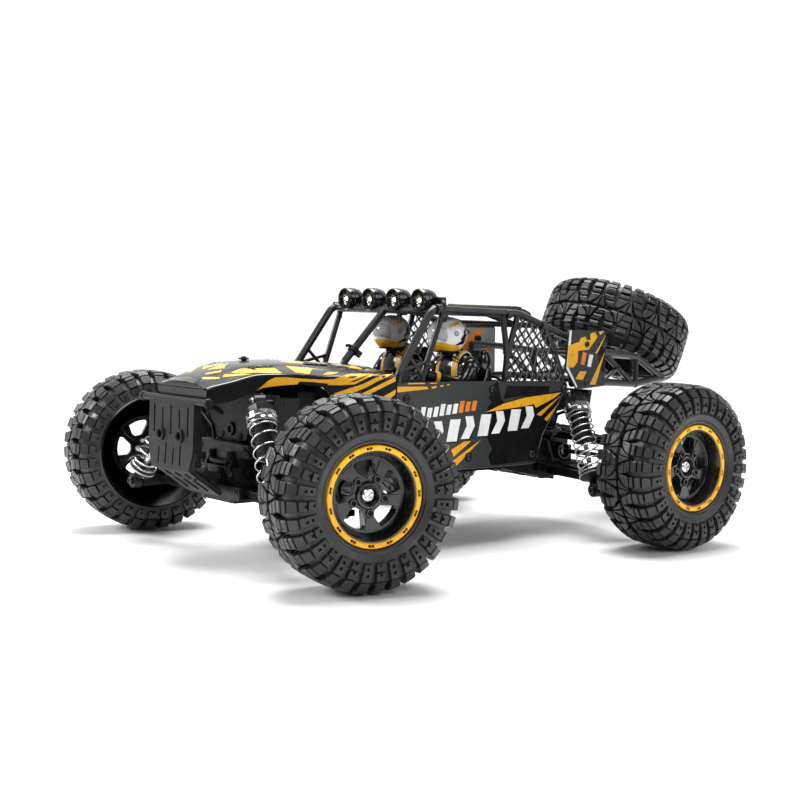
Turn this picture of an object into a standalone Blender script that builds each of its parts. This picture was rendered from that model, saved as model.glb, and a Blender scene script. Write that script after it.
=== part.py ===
"""Radio-controlled desert buggy, about 1:12 scale, as an assembly of separate pieces.

Frame: +Z up, the car's nose points to -Y and its left side to +X. The origin is on the ground
under the middle of the bounding box. Every size below is in millimetres, lengthwise places are
measured back from the front axle, and at() turns both into metres in the part's frame.
"""
import math

import bmesh
import bpy
from mathutils import Matrix, Vector

MM = 0.001
GAP = 0.3                      # running gap between neighbours

# ---- stance -------------------------------------------------------------------------------
WHEELBASE = 221.0
FRONT_AXLE_Y = -142.8          # front axle in the part's frame
TYRE_R = 47.5
AXLE_Z = TYRE_R
WHEEL_FACETS = 20              # one flat of the round tyre stands on the ground
REAR_WHEEL_X = 113.5
KINGPIN_X = 92.5
SCRUB = 20.5                   # kingpin to the middle of the front tyre
STEER = math.radians(-12.5)    # the front wheels are stored turned to the car's right
STEER_ARM = 15.0               # kingpin to tie-rod stud, and servo axis to horn pin

# ---- double wishbones, the same at all four corners ------------------------------------------
INNER_X, OUTER_X = 22.0, 84.0
LOWER_IN_Z, LOWER_OUT_Z = 37.0, 33.0
UPPER_IN_Z, UPPER_OUT_Z = 59.0, 55.0
BUMP = math.radians(14)        # upward travel of an arm
PIN_R = 1.3
BORE_R = 1.75
LOWER_HALF, UPPER_HALF = 14.0, 9.0       # half lengths of the inner hinge barrels
FORK_IN, FORK_OUT = 6.3, 9.3             # ears on either side of the hub carrier

# ---- shock absorbers ---------------------------------------------------------------------------
SHOCKS = {
    "front": {"top": (37.0, -13.0, 86.0), "eye": (72.0, -25.0, 34.6), "turns": 6},
    "rear": {"top": (44.0, 210.0, 84.0), "eye": (76.0, 197.0, 30.5), "turns": 9},
}
SHOCK_BODY_R, SHOCK_SHAFT_R, COLLAR_R, CUP_R = 5.4, 1.5, 8.2, 7.6
COIL_R, WIRE_R = 7.0, 0.65

# ---- body and cage -----------------------------------------------------------------------------
PANEL_X = 49.2                 # inner face of the side panels
PANEL_T = 1.5
TUBE_R, THIN_TUBE_R, NET_R = 2.2, 1.75, 0.7
SILL_X, SILL_Z = 46.4, 90.0
RAIL_X = 47.8
LAMP_R, LAMP_Z, LAMP_FRONT, LAMP_BACK = 6.5, 139.9, 93.3, 110.0
LAMP_X = (-34.35, -11.45, 11.45, 34.35)
SPARE_CENTRE = (0.0, 290.0, 121.0)
SPARE_TILT = math.radians(24)  # the spare's axis leans back from upright
HELMET_R = 10.0

COLOURS = {
    "black_plastic": ((0.022, 0.023, 0.025), 0.5, 0.0),
    "gloss_black": ((0.012, 0.013, 0.014), 0.15, 0.0),
    "grey_panel": ((0.06, 0.07, 0.07), 0.35, 0.0),
    "tyre_rubber": ((0.03, 0.03, 0.032), 0.8, 0.0),
    "rim_black": ((0.018, 0.018, 0.02), 0.35, 0.0),
    "chrome_wire": ((0.75, 0.74, 0.72), 0.2, 1.0),
    "steel": ((0.6, 0.6, 0.6), 0.3, 1.0),
    "figure": ((0.55, 0.55, 0.56), 0.3, 0.0),
    "battery_wrap": ((0.03, 0.05, 0.12), 0.4, 0.0),
    "motor_can": ((0.45, 0.46, 0.47), 0.3, 1.0),
}


# ============================== tools =============================================================
def at(x, y, z):
    """Millimetres, with y behind the front axle, to metres in the part's frame."""
    return Vector((x, y + FRONT_AXLE_Y, z)) * MM


def new_collection(name):
    group = bpy.data.collections.new(name)
    bpy.context.scene.collection.children.link(group)
    return group


def finish(name):
    """One Principled material for each named finish, made once."""
    known = bpy.data.materials.get(name)
    if known:
        return known
    colour, roughness, metallic = COLOURS[name]
    made = bpy.data.materials.new(name)
    made.use_nodes = True
    shader = made.node_tree.nodes["Principled BSDF"]
    shader.inputs["Base Color"].default_value = (*colour, 1.0)
    shader.inputs["Roughness"].default_value = roughness
    shader.inputs["Metallic"].default_value = metallic
    made.diffuse_color = (*colour, 1.0)
    return made


def as_tool(mesh):
    """A mesh as a guide object, which part() may later turn into a piece of the car."""
    guide = bpy.data.objects.new("guide", mesh)
    guide.hide_render = True
    guide.display_type = "WIRE"
    TOOLS.objects.link(guide)
    return guide


def from_bmesh(bm):
    mesh = bpy.data.meshes.new("guide")
    bm.to_mesh(mesh)
    bm.free()
    return as_tool(mesh)


def block(low, high):
    bm = bmesh.new()
    bmesh.ops.create_cube(bm, size=1.0)
    size = Vector([abs(b - a) for a, b in zip(low, high)]) * MM
    bmesh.ops.scale(bm, vec=size, verts=bm.verts)
    bmesh.ops.translate(bm, vec=(at(*low) + at(*high)) / 2, verts=bm.verts)
    return from_bmesh(bm)


def rod(start, end, radius, sides=12):
    bm = bmesh.new()
    a, b = at(*start), at(*end)
    bmesh.ops.create_cone(bm, cap_ends=True, segments=sides, radius1=radius * MM,
                          radius2=radius * MM, depth=(b - a).length)
    turn = (b - a).to_track_quat("Z", "Y").to_matrix().to_4x4()
    bmesh.ops.transform(bm, matrix=Matrix.Translation((a + b) / 2) @ turn, verts=bm.verts)
    return from_bmesh(bm)


def ball(centre, radii, segments=14, rings=8):
    bm = bmesh.new()
    bmesh.ops.create_uvsphere(bm, u_segments=segments, v_segments=rings, radius=1.0)
    bmesh.ops.scale(bm, vec=Vector(radii) * MM, verts=bm.verts)
    bmesh.ops.translate(bm, vec=at(*centre), verts=bm.verts)
    return from_bmesh(bm)


def mesh_of_curve(curve_object):
    """The curve's own solid as a closed mesh guide; the curve goes."""
    bpy.context.view_layer.update()
    view = bpy.context.evaluated_depsgraph_get()
    mesh = bpy.data.meshes.new_from_object(curve_object.evaluated_get(view))
    bm = bmesh.new()
    bm.from_mesh(mesh)
    bmesh.ops.remove_doubles(bm, verts=bm.verts, dist=1e-6)
    bmesh.ops.recalc_face_normals(bm, faces=bm.faces)
    bm.to_mesh(mesh)
    bm.free()
    guide = as_tool(mesh)
    guide.matrix_world = curve_object.matrix_world
    bpy.data.objects.remove(curve_object, do_unlink=True)
    return guide


def tube(points, radius, resolution=2):
    """A round tube through points, given in metres."""
    curve = bpy.data.curves.new("tube", "CURVE")
    curve.dimensions = "3D"
    curve.bevel_depth = radius * MM
    curve.bevel_resolution = resolution
    curve.use_fill_caps = True
    spline = curve.splines.new("POLY")
    spline.points.add(len(points) - 1)
    for knot, point in zip(spline.points, points):
        knot.co = (*point, 1.0)
    holder = bpy.data.objects.new("tube", curve)
    TOOLS.objects.link(holder)
    return mesh_of_curve(holder)


def pipe(radius, *points):
    """A tube through points given in the car's millimetres, with fewer sides where it is thin."""
    resolution = 0 if radius < 1.0 else 1
    return tube([at(*point) for point in points], radius, resolution)


def plate(plane, outline, low, high):
    """A flat outline in plane YZ, XZ or XY, filled from low to high along the third axis."""
    curve = bpy.data.curves.new("plate", "CURVE")
    curve.dimensions = "2D"
    curve.fill_mode = "BOTH"
    curve.extrude = abs(high - low) / 2 * MM
    spline = curve.splines.new("POLY")
    spline.points.add(len(outline) - 1)
    for knot, (a, b) in zip(spline.points, outline):
        knot.co = (a * MM, b * MM, 0.0, 1.0)
    spline.use_cyclic_u = True
    holder = bpy.data.objects.new("plate", curve)
    TOOLS.objects.link(holder)
    middle = (low + high) / 2
    columns = {"YZ": ((0, 1, 0), (0, 0, 1), (1, 0, 0)),
               "XZ": ((1, 0, 0), (0, 0, 1), (0, -1, 0)),
               "XY": ((1, 0, 0), (0, 1, 0), (0, 0, 1))}[plane]
    centre = {"YZ": at(middle, 0, 0), "XZ": at(0, middle, 0), "XY": at(0, 0, middle)}[plane]
    turn = Matrix(columns).transposed().to_4x4()
    holder.matrix_world = Matrix.Translation(centre) @ turn
    return mesh_of_curve(holder)


def turned(profile, centre, axis, steps=WHEEL_FACETS, closed=False):
    """A profile of (radius, height) turned about an axis through centre, one flat facing down."""
    mesh = bpy.data.meshes.new("turned")
    count = len(profile)
    edges = [(i, i + 1) for i in range(count - 1)]
    if closed:
        edges.append((count - 1, 0))
    mesh.from_pydata([(r * MM, 0.0, h * MM) for r, h in profile], edges, [])
    guide = as_tool(mesh)
    up = Vector(axis).normalized()
    down = Vector((0, 0, -1)) if abs(up.z) < 0.5 else Vector((0, -1, 0))
    down = (down - up * down.dot(up)).normalized()
    across = Matrix.Rotation(math.pi / steps, 3, up) @ down
    turn = Matrix((across, up.cross(across), up)).transposed().to_4x4()
    guide.matrix_world = Matrix.Translation(at(*centre)) @ turn
    screw = guide.modifiers.new("turn", "SCREW")
    screw.steps = screw.render_steps = steps
    screw.use_merge_vertices = True
    screw.merge_threshold = 1e-6
    return guide


def part(name, colour, base, joins=(), cuts=(), keeps=(), pivot=None, holder=None):
    """Turn a guide into a named piece: keep what lies inside keeps, add joins, take cuts away."""
    for operation, tools in (("INTERSECT", keeps), ("UNION", joins), ("DIFFERENCE", cuts)):
        for tool in tools:
            step = base.modifiers.new(operation.lower(), "BOOLEAN")
            step.operation = operation
            step.solver = "EXACT"
            step.object = tool
    base.name = name
    base.data.name = name
    base.data.materials.clear()
    base.data.materials.append(finish(colour))
    base.hide_render = False
    base.display_type = "TEXTURED"
    TOOLS.objects.unlink(base)
    PARTS.objects.link(base)
    if pivot is not None:
        bpy.context.view_layer.update()
        shift = base.matrix_world.inverted() @ at(*pivot)
        base.data.transform(Matrix.Translation(-shift))
        base.matrix_world = base.matrix_world @ Matrix.Translation(shift)
    if holder is not None:
        bpy.context.view_layer.update()
        base.parent = holder
        base.matrix_parent_inverse = holder.matrix_world.inverted()
    return base


def joint_empty(name, point, parent=None):
    """An empty on a joint's axis, which carries the moving pieces."""
    empty = bpy.data.objects.new(name, None)
    empty.empty_display_size = 0.01
    TOOLS.objects.link(empty)
    empty.location = at(*point)
    bpy.context.view_layer.update()
    if parent is not None:
        empty.parent = parent
        empty.matrix_parent_inverse = parent.matrix_world.inverted()
    return empty


def smooth(piece, degrees=35):
    piece.data.shade_smooth()
    piece.data.set_sharp_from_angle(angle=math.radians(degrees))


# ============================== chassis and gear casings =========================================
def build_chassis():
    floor = plate("YZ", [(18, 32), (45, 41), (160, 41), (203, 32), (203, 35), (161, 44),
                         (44, 44), (18, 35)], -35, 35)
    joins = []
    for side in (1, -1):
        wall = [(34, 38.5), (46, 42), (159, 42), (186, 36.4), (186, 56), (170, 62), (60, 62), (34, 52)]
        joins.append(plate("YZ", wall, side * 31.6, side * 34.4))
        for y in (84, 156):
            joins.append(block((side * 33, y, 50), (side * (PANEL_X - GAP), y + 6, 54)))
    part("chassis_tub", "black_plastic", floor, joins)


def build_bumper():
    bar_y, bar_z, half_width = -41.3, 86.0, 23.0
    profile = [(-43.6, 86), (-44, 64), (-41.5, 51), (-21, 36.4), (-18.2, 38.6), (-38.6, 53),
               (-41, 65), (-40.6, 86)]
    front = [(-half_width, 87), (half_width, 87), (half_width, 58), (17.5, 46), (17.5, 35),
             (-17.5, 35), (-17.5, 46), (-half_width, 58)]
    skid = plate("YZ", profile, -half_width, half_width)
    outline = plate("XZ", front, -60, -10)
    bar = rod((-34.6, bar_y, bar_z), (34.6, bar_y, bar_z), 2.0)
    holes = [rod((x, -50, 67.6), (x, -35, 67.6), 2.0) for x in (-9.8, 9.8)]
    part("front_bumper", "black_plastic", skid, [bar], holes, [outline])


def shock_pin(end, side, reach):
    """The pin of a shock's upper eye, standing out of its tower along the eye's own axis."""
    top, _, across = shock_axes(end, side)
    away = across if across.y < 0 else -across
    return rod(top - away * reach, top + away * 4.4, 1.35)


def build_bulkhead(end, axle_y, tower, tower_y):
    """Gear casing with the wishbone hinge pins and the shock tower in one moulding."""
    casing = block((-17, axle_y - 15, 31), (17, axle_y + 15, 50))
    joins = [block((-16.6, axle_y - 12, 48), (16.6, axle_y + 12, 62))]
    for front in (-1, 1):
        low = sorted((axle_y + front * (LOWER_HALF + GAP), axle_y + front * (LOWER_HALF + 3.3)))
        high = sorted((axle_y + front * (UPPER_HALF + GAP), axle_y + front * (UPPER_HALF + 3)))
        joins.append(block((-25.5, low[0], 33.4), (25.5, low[1], 40.6)))
        joins.append(block((-25.5, high[0], 55.4), (25.5, high[1], 62.6)))
    joins.append(plate("XZ", tower, tower_y, tower_y + 3.0))
    pin_reach = tower_y + 1.5 - SHOCKS[end]["top"][1]
    for side in (1, -1):
        x = side * INNER_X
        joins.append(rod((x, axle_y - LOWER_HALF - 2, LOWER_IN_Z),
                         (x, axle_y + LOWER_HALF + 2, LOWER_IN_Z), PIN_R))
        joins.append(rod((x, axle_y - UPPER_HALF - 2, UPPER_IN_Z),
                         (x, axle_y + UPPER_HALF + 2, UPPER_IN_Z), PIN_R))
        joins.append(shock_pin(end, side, pin_reach))
    part(f"{end}_bulkhead", "black_plastic", casing, joins)


def build_power():
    """Battery, electronics, motor and steering servo, which sit in the tub under the cockpit."""
    battery = block((4, 72, 44.4), (30.8, 158, 68))
    part("battery_pack", "battery_wrap", battery)
    box = block((-30.8, 74, 44.4), (-4, 140, 64))
    lid = block((-28, 77, 63), (-7, 137, 66))
    part("electronics_box", "black_plastic", box, [lid])
    can = rod((0, 166, 60), (0, 200, 60), 13.6, 20)
    boss = rod((0, 198, 60), (0, 204, 60), 5)
    shaft = rod((0, 203, 60), (0, 208.6, 60), 1.6)
    part("motor", "motor_can", can, [boss, shaft])


# ============================== steering ==========================================================
def steered(x, y):
    """A point that turns with the front wheels, relative to its kingpin."""
    c, s = math.cos(STEER), math.sin(STEER)
    return x * c - y * s, x * s + y * c


LINK_SHIFT, STUD_Y = steered(0.0, STEER_ARM)
LINK_Z, STUD_Z = 54.0, 50.0
LINK_END_X = KINGPIN_X - (OUTER_X - INNER_X)
HORN_Y = 39.0
HORN_TIP = (LINK_SHIFT, HORN_Y - STUD_Y)


def build_steering():
    servo = block((-10, 32.5, 45), (10, 62, 55.6))
    flange = block((-13, 34, 50), (13, 60.5, 52))
    spindle = rod((0, HORN_Y, 54), (0, HORN_Y, 60), 2.2)
    part("steering_servo", "black_plastic", servo, [flange, spindle])

    slider = joint_empty("steering_slide", (0, STUD_Y, LINK_Z))
    horn_pivot = joint_empty("servo_horn_pivot", (0, HORN_Y, 58))
    hub = rod((0, HORN_Y, 57), (0, HORN_Y, 60), 5.2)
    lever = rod((HORN_TIP[0], HORN_TIP[1], 57.2), (HORN_TIP[0], HORN_TIP[1], 59.8), 3.2)
    web = rod((0, HORN_Y, 58.5), (HORN_TIP[0], HORN_TIP[1], 58.5), 1.2)
    pin = rod((HORN_TIP[0], HORN_TIP[1], 51), (HORN_TIP[0], HORN_TIP[1], 58), 1.5)
    bore = rod((0, HORN_Y, 50), (0, HORN_Y, 70), 2.6)
    part("servo_horn", "black_plastic", hub, [lever, web, pin], [bore], pivot=(0, HORN_Y, 58),
         holder=horn_pivot)

    left_x, right_x = LINK_END_X + LINK_SHIFT, -LINK_END_X + LINK_SHIFT
    bar = block((right_x - 2, 18.6, 52), (left_x + 2, 22, 56))
    middle = block((LINK_SHIFT - 6, 18, 52.2), (LINK_SHIFT + 6, 29, 55.8))
    slot = block((LINK_SHIFT - 2, 22.0, 45), (LINK_SHIFT + 2, 27.8, 65))
    pins = [rod((x, 20, LINK_Z), (x, STUD_Y - 3.2, LINK_Z), PIN_R) for x in (left_x, right_x)]
    part("steering_link", "black_plastic", bar, [middle, *pins], [slot],
         pivot=(LINK_SHIFT, STUD_Y, LINK_Z), holder=slider)

    for name, side in (("left", 1), ("right", -1)):
        inner = (side * LINK_END_X + LINK_SHIFT, STUD_Y, LINK_Z)
        outer = (side * KINGPIN_X + LINK_SHIFT, STUD_Y, STUD_Z)
        pivot = joint_empty(f"tie_rod_{name}_pivot", inner, slider)
        barrel = rod((inner[0], STUD_Y - 2, LINK_Z), (inner[0], STUD_Y + 2, LINK_Z), 3.2)
        shank = rod(inner, outer, 1.5)
        eye = rod((outer[0], STUD_Y, STUD_Z - 1), (outer[0], STUD_Y, STUD_Z + 1), 4.4, 16)
        cuts = [rod((inner[0], 8, LINK_Z), (inner[0], 22, LINK_Z), BORE_R),
                rod((outer[0], STUD_Y, 40), (outer[0], STUD_Y, 60), 2.9, 16)]
        part(f"tie_rod_{name}", "black_plastic", barrel, [shank, eye], cuts, pivot=inner, holder=pivot)
    return slider


# ============================== suspension ========================================================
def arm_swing(point, angle):
    """Where a point of a left lower arm goes when the arm swings up by an angle."""
    dx, dz = point[0] - INNER_X, point[2] - LOWER_IN_Z
    c, s = math.cos(angle), math.sin(angle)
    return Vector((INNER_X + dx * c - dz * s, point[1], LOWER_IN_Z + dx * s + dz * c))


def shock_axes(end, side):
    """Upper eye, direction to the lower eye, and the shock's swing axis, for one side."""
    top, eye = Vector(SHOCKS[end]["top"]), Vector(SHOCKS[end]["eye"])
    raised = arm_swing(eye, BUMP)
    flip = Vector((side, 1, 1))
    top, eye, raised = top * flip, eye * flip, raised * flip
    along = (eye - top).normalized()
    across = along.cross(raised - top).normalized()
    return top, along, across


def build_arms(end, name, side, axle_y, carriers):
    """Lower and upper wishbone: a sloping web, a hinge barrel, and a fork with its own pin."""
    eye_x, eye_y, eye_z = SHOCKS[end]["eye"]
    lower_plan = [(23, -LOWER_HALF), (23, LOWER_HALF), (60, 9.3), (OUTER_X, FORK_OUT),
                  (OUTER_X, FORK_IN), (78.3, FORK_IN), (78.3, -FORK_IN), (OUTER_X, -FORK_IN),
                  (OUTER_X, -FORK_OUT), (60, -FORK_OUT)]
    upper_plan = [(23, -UPPER_HALF), (23, UPPER_HALF), (58, 5.5), (76, FORK_OUT),
                  (OUTER_X, FORK_OUT), (OUTER_X, FORK_IN), (78.3, FORK_IN), (78.3, -FORK_IN),
                  (OUTER_X, -FORK_IN), (OUTER_X, -FORK_OUT), (76, -FORK_OUT), (58, -5.5)]
    layout = {"lower": (lower_plan, LOWER_IN_Z, LOWER_OUT_Z, LOWER_HALF, 1.9),
              "upper": (upper_plan, UPPER_IN_Z, UPPER_OUT_Z, UPPER_HALF, 1.5)}
    for level, (plan, in_z, out_z, half, thick) in layout.items():
        slope = [(side * 22.5, in_z - thick), (side * 22.5, in_z + thick),
                 (side * 85, out_z + thick), (side * 85, out_z - thick)]
        web = plate("XZ", slope, axle_y - 40, axle_y + 40)
        keep = plate("XY", [(side * x, axle_y + y) for x, y in plan], 20, 70)
        joins = [rod((side * INNER_X, axle_y - half, in_z), (side * INNER_X, axle_y + half, in_z), 3.2)]
        for front in (-1, 1):
            joins.append(rod((side * OUTER_X, axle_y + front * FORK_IN, out_z),
                             (side * OUTER_X, axle_y + front * FORK_OUT, out_z), 3.1))
        joins.append(rod((side * OUTER_X, axle_y - 8, out_z), (side * OUTER_X, axle_y + 8, out_z), PIN_R))
        if level == "lower":
            near, far = side * (eye_x - 3.5), side * (eye_x + 3.5)
            joins.append(block((near, eye_y + 3.4, eye_z - 3.2), (far, eye_y + 10, eye_z + 0.6)))
            joins.append(block((near, eye_y + 9.6, eye_z - 3.0), (far, axle_y - 7.5, out_z + 1.9)))
            joins.append(rod((side * eye_x, eye_y + 5, eye_z), (side * eye_x, eye_y - 3.2, eye_z),
                             1.35))
        bore = rod((side * INNER_X, axle_y - half - 2, in_z), (side * INNER_X, axle_y + half + 2, in_z),
                   BORE_R)
        part(f"{end}_{level}_arm_{name}", "black_plastic", web, joins, [bore], [keep],
             pivot=(side * INNER_X, axle_y, in_z), holder=carriers[level])


def build_shock(end, name, side, carriers):
    top, along, across = shock_axes(end, side)
    eye = Vector(SHOCKS[end]["eye"]) * Vector((side, 1, 1))
    reach = (eye - top).length
    lengthwise = Vector((0, 1, 0))

    body = rod(top + along * 5.0, top + along * 31.0, SHOCK_BODY_R, 16)
    joins = [rod(top - across * 3, top + across * 3, 4.0),
             rod(top + along * 1.0, top + along * 6.0, 3.6),
             rod(top + along * 8.0, top + along * 14.0, COLLAR_R, 16)]
    cuts = [rod(top - across * 9, top + across * 9, 1.8),
            rod(top + along * 17.0, top + along * 40.0, SHOCK_SHAFT_R + 0.4)]
    part(f"{end}_shock_body_{name}", "black_plastic", body, joins, cuts, pivot=top,
         holder=carriers["shock"])

    shaft = rod(top + along * 28.5, top + along * (reach - 3.0), SHOCK_SHAFT_R)
    joins = [rod(top + along * (reach - 10.5), top + along * (reach - 8.0), CUP_R, 16),
             rod(top + along * (reach - 8.4), top + along * (reach - 2.8), 2.8),
             rod(eye - lengthwise * 2.4, eye + lengthwise * 2.4, 4.2)]
    cuts = [rod(eye - lengthwise * 9, eye + lengthwise * 9, 2.3)]
    part(f"{end}_shock_shaft_{name}", "steel", shaft, joins, cuts, pivot=eye, holder=carriers["shock"])

    start, stop = 14.0 + WIRE_R + GAP, reach - 10.5 - WIRE_R - GAP
    turns, steps = SHOCKS[end]["turns"], 7
    base = along.orthogonal().normalized()
    points = []
    for i in range(turns * steps + 1):
        share = i / (turns * steps)
        spoke = Matrix.Rotation(2 * math.pi * i / steps, 3, along) @ base
        points.append(at(*(top + along * (start + (stop - start) * share) + spoke * COIL_R)))
    coil = tube(points, WIRE_R, 0)
    part(f"{end}_spring_{name}", "chrome_wire", coil, pivot=top + along * 14.0,
         holder=carriers["shock"])


# ============================== hubs, wheels and tyres ===========================================
RIM_PROFILE = [(0, 9.5), (7, 9.5), (17.5, 8), (19.8, 17.6), (24.6, 17.6), (24.8, 15), (33.4, -19.6),
               (31.8, -20.2), (20.5, 3), (9, 4), (6.2, 3), (6.2, -8.5)]
AXLE_PROFILE = [(2.4, -8.5), (2.4, -22.0), (0, -22.0)]
TYRE_PROFILE = [(25.4, 16.6), (32, 20.4), (43, 21.3), (47.5, 17.2), (47.5, -17.2), (43, -21.3),
                (34.3, -20.6)]


def build_wheel(name, tyre_name, centre, axis, axle=True, holder=None):
    """A five-window rim with its hub and stub axle, and the tyre round it."""
    flat = 1 / math.cos(math.pi / WHEEL_FACETS)
    tail = AXLE_PROFILE if axle else [(0, -8.5)]
    rim = turned([(r * flat, h) for r, h in RIM_PROFILE] + tail, centre, axis)
    axis = Vector(axis).normalized()
    side = axis.orthogonal().normalized()
    cuts = []
    for k in range(5):
        spoke = Matrix.Rotation(2 * math.pi * (k + 0.5) / 5, 3, axis) @ side
        place = Vector(centre) + spoke * 12.6
        cuts.append(rod(place + axis * 2, place + axis * 13, 3.4, 8))
    part(name, "rim_black", rim, (), cuts, holder=holder)
    smooth(rim)
    tyre = turned([(r * flat, h) for r, h in TYRE_PROFILE], centre, axis, closed=True)
    part(tyre_name, "tyre_rubber", tyre, holder=holder)
    smooth(tyre)


def build_front_hub(name, side, carriers):
    kingpin = (side * KINGPIN_X, 0.0, AXLE_Z)

    web = block((side * 80.8, -6, 30.2), (side * 86, 6, 60))
    joins = [block((side * 85, -5, 56.6), (side * 96.5, 5, 60)),
             block((side * 85, -5, 33.2), (side * 96.5, 5, 36.4))]
    cuts = [rod((side * OUTER_X, -9, z), (side * OUTER_X, 9, z), BORE_R)
            for z in (LOWER_OUT_Z, UPPER_OUT_Z)]
    cuts.append(rod((side * KINGPIN_X, 0, 25), (side * KINGPIN_X, 0, 70), 1.9))
    cuts.append(rod((side * 75, 0, AXLE_Z), (side * 90, 0, AXLE_Z), 4.0))
    part(f"front_hub_carrier_{name}", "black_plastic", web, joins, cuts,
         pivot=(side * OUTER_X, 0, LOWER_OUT_Z), holder=carriers["hub"])

    def turn_point(x, y, z):
        dx, dy = steered(side * x, y)
        return (kingpin[0] + dx, dy, z)

    core = rod(turn_point(0, 0, 36.8), turn_point(0, 0, 56.2), 4.2)
    arm_z = STUD_Z - 4.2
    joins = [rod(turn_point(-2, 0, AXLE_Z), turn_point(9, 0, AXLE_Z), 6.4),
             rod(turn_point(0, 0, 32.5), turn_point(0, 0, 61), 1.4),
             rod(turn_point(0, 2, arm_z), turn_point(0, STEER_ARM, arm_z), 1.7),
             rod(turn_point(0, STEER_ARM, arm_z - 1.7), turn_point(0, STEER_ARM, arm_z + 1.6), 2.8),
             rod(turn_point(0, STEER_ARM, arm_z), turn_point(0, STEER_ARM, STUD_Z + 3.4), 1.3)]
    cuts = [rod(turn_point(-12, 0, AXLE_Z), turn_point(20, 0, AXLE_Z), 2.8)]
    part(f"front_steering_knuckle_{name}", "black_plastic", core, joins, cuts, pivot=kingpin,
         holder=carriers["knuckle"])

    axis = Vector((side * math.cos(STEER), side * math.sin(STEER), 0))
    centre = turn_point(SCRUB, 0, AXLE_Z)
    wheel = joint_empty(f"front_{name}_wheel_axle", centre, carriers["knuckle"])
    build_wheel(f"front_wheel_{name}", f"front_tyre_{name}", centre, axis, holder=wheel)


def build_rear_hub(name, side, carriers):
    web = block((side * 80.8, WHEELBASE - 6, 30.2), (side * 87, WHEELBASE + 6, 59))
    joins = [rod((side * 85, WHEELBASE, AXLE_Z), (side * 102, WHEELBASE, AXLE_Z), 7.6, 16)]
    cuts = [rod((side * OUTER_X, WHEELBASE - 9, z), (side * OUTER_X, WHEELBASE + 9, z), BORE_R)
            for z in (LOWER_OUT_Z, UPPER_OUT_Z)]
    cuts.append(rod((side * 75, WHEELBASE, AXLE_Z), (side * 110, WHEELBASE, AXLE_Z), 2.8))
    part(f"rear_upright_{name}", "black_plastic", web, joins, cuts,
         pivot=(side * OUTER_X, WHEELBASE, LOWER_OUT_Z), holder=carriers["hub"])
    centre = (side * REAR_WHEEL_X, WHEELBASE, AXLE_Z)
    wheel = joint_empty(f"rear_{name}_wheel_axle", centre, carriers["hub"])
    build_wheel(f"rear_wheel_{name}", f"rear_tyre_{name}", centre, (side, 0, 0), holder=wheel)


def build_corner(end, name, side):
    axle_y = 0.0 if end == "front" else WHEELBASE
    lower = joint_empty(f"{end}_{name}_lower_hinge", (side * INNER_X, axle_y, LOWER_IN_Z))
    upper = joint_empty(f"{end}_{name}_upper_hinge", (side * INNER_X, axle_y, UPPER_IN_Z))
    hub = joint_empty(f"{end}_{name}_hub_hinge", (side * OUTER_X, axle_y, LOWER_OUT_Z), lower)
    shock = joint_empty(f"{end}_{name}_shock_hinge", shock_axes(end, side)[0])
    carriers = {"lower": lower, "upper": upper, "hub": hub, "shock": shock}
    build_arms(end, name, side, axle_y, carriers)
    build_shock(end, name, side, carriers)
    if end == "front":
        carriers["knuckle"] = joint_empty(f"front_{name}_kingpin", (side * KINGPIN_X, 0, AXLE_Z), hub)
        build_front_hub(name, side, carriers)
    else:
        build_rear_hub(name, side, carriers)


# ============================== body shells =======================================================
# station behind the front axle, half width, edge height, crown height, lower edge of the skirt
HOOD_STATIONS = [(-37, 25, 92.6, 95.5, 86.4), (-14, 31, 98.4, 102.4, 91.4), (12, 37.5, 100.2, 105.0, 94.2),
                 (40, 45, 98.6, 104.0, 90.5), (66, 51.4, 96.8, 102.0, 88.0)]
HOOD_T = 1.2


def build_hood():
    bm = bmesh.new()
    rows = []
    for y, half, edge, crown, skirt in HOOD_STATIONS:
        section = [(half + 0.6, skirt), (half, edge), (half * 0.62, crown - 1.0), (0, crown)]
        section += [(-x, z) for x, z in reversed(section[:-1])]
        rows.append([bm.verts.new(at(x, y, z)) for x, z in section])
    for near, far in zip(rows, rows[1:]):
        for i in range(len(near) - 1):
            bm.faces.new((near[i], far[i], far[i + 1], near[i + 1]))
    bmesh.ops.recalc_face_normals(bm, faces=bm.faces)
    if sum(face.normal.z for face in bm.faces) < 0:
        bmesh.ops.reverse_faces(bm, faces=bm.faces)
    shell = from_bmesh(bm)
    wall = shell.modifiers.new("wall", "SOLIDIFY")
    wall.thickness = HOOD_T * MM
    wall.offset = -1.0
    nose = plate("XZ", [(-24.6, 87), (24.6, 87), (24.6, 92.4), (14, 94), (-14, 94), (-24.6, 92.4)],
                 -37, -35.6)
    part("hood_shell", "gloss_black", shell, [nose])


def build_panels():
    side_outline = [(66.8, 95.4), (197, 93.5), (175, 52), (172, 45.5), (105, 45.6), (78, 58),
                    (66.8, 76)]
    plate_outline = [(198, 124), (230, 124), (230, 89), (206, 88), (196, 100.6)]
    for name, side in (("left", 1), ("right", -1)):
        sheet = plate("YZ", side_outline, side * PANEL_X, side * (PANEL_X + PANEL_T))
        part(f"side_panel_{name}", "grey_panel", sheet)
        sheet = plate("YZ", plate_outline, side * PANEL_X, side * (PANEL_X + PANEL_T))
        part(f"number_plate_{name}", "grey_panel", sheet)
    roof = plate("YZ", [(111, 138.6), (171, 137.4), (175.5, 131.6), (174, 131.2), (170, 136.2),
                        (111, 137.4)], -42, 42)
    part("roof_panel", "grey_panel", roof)


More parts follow.
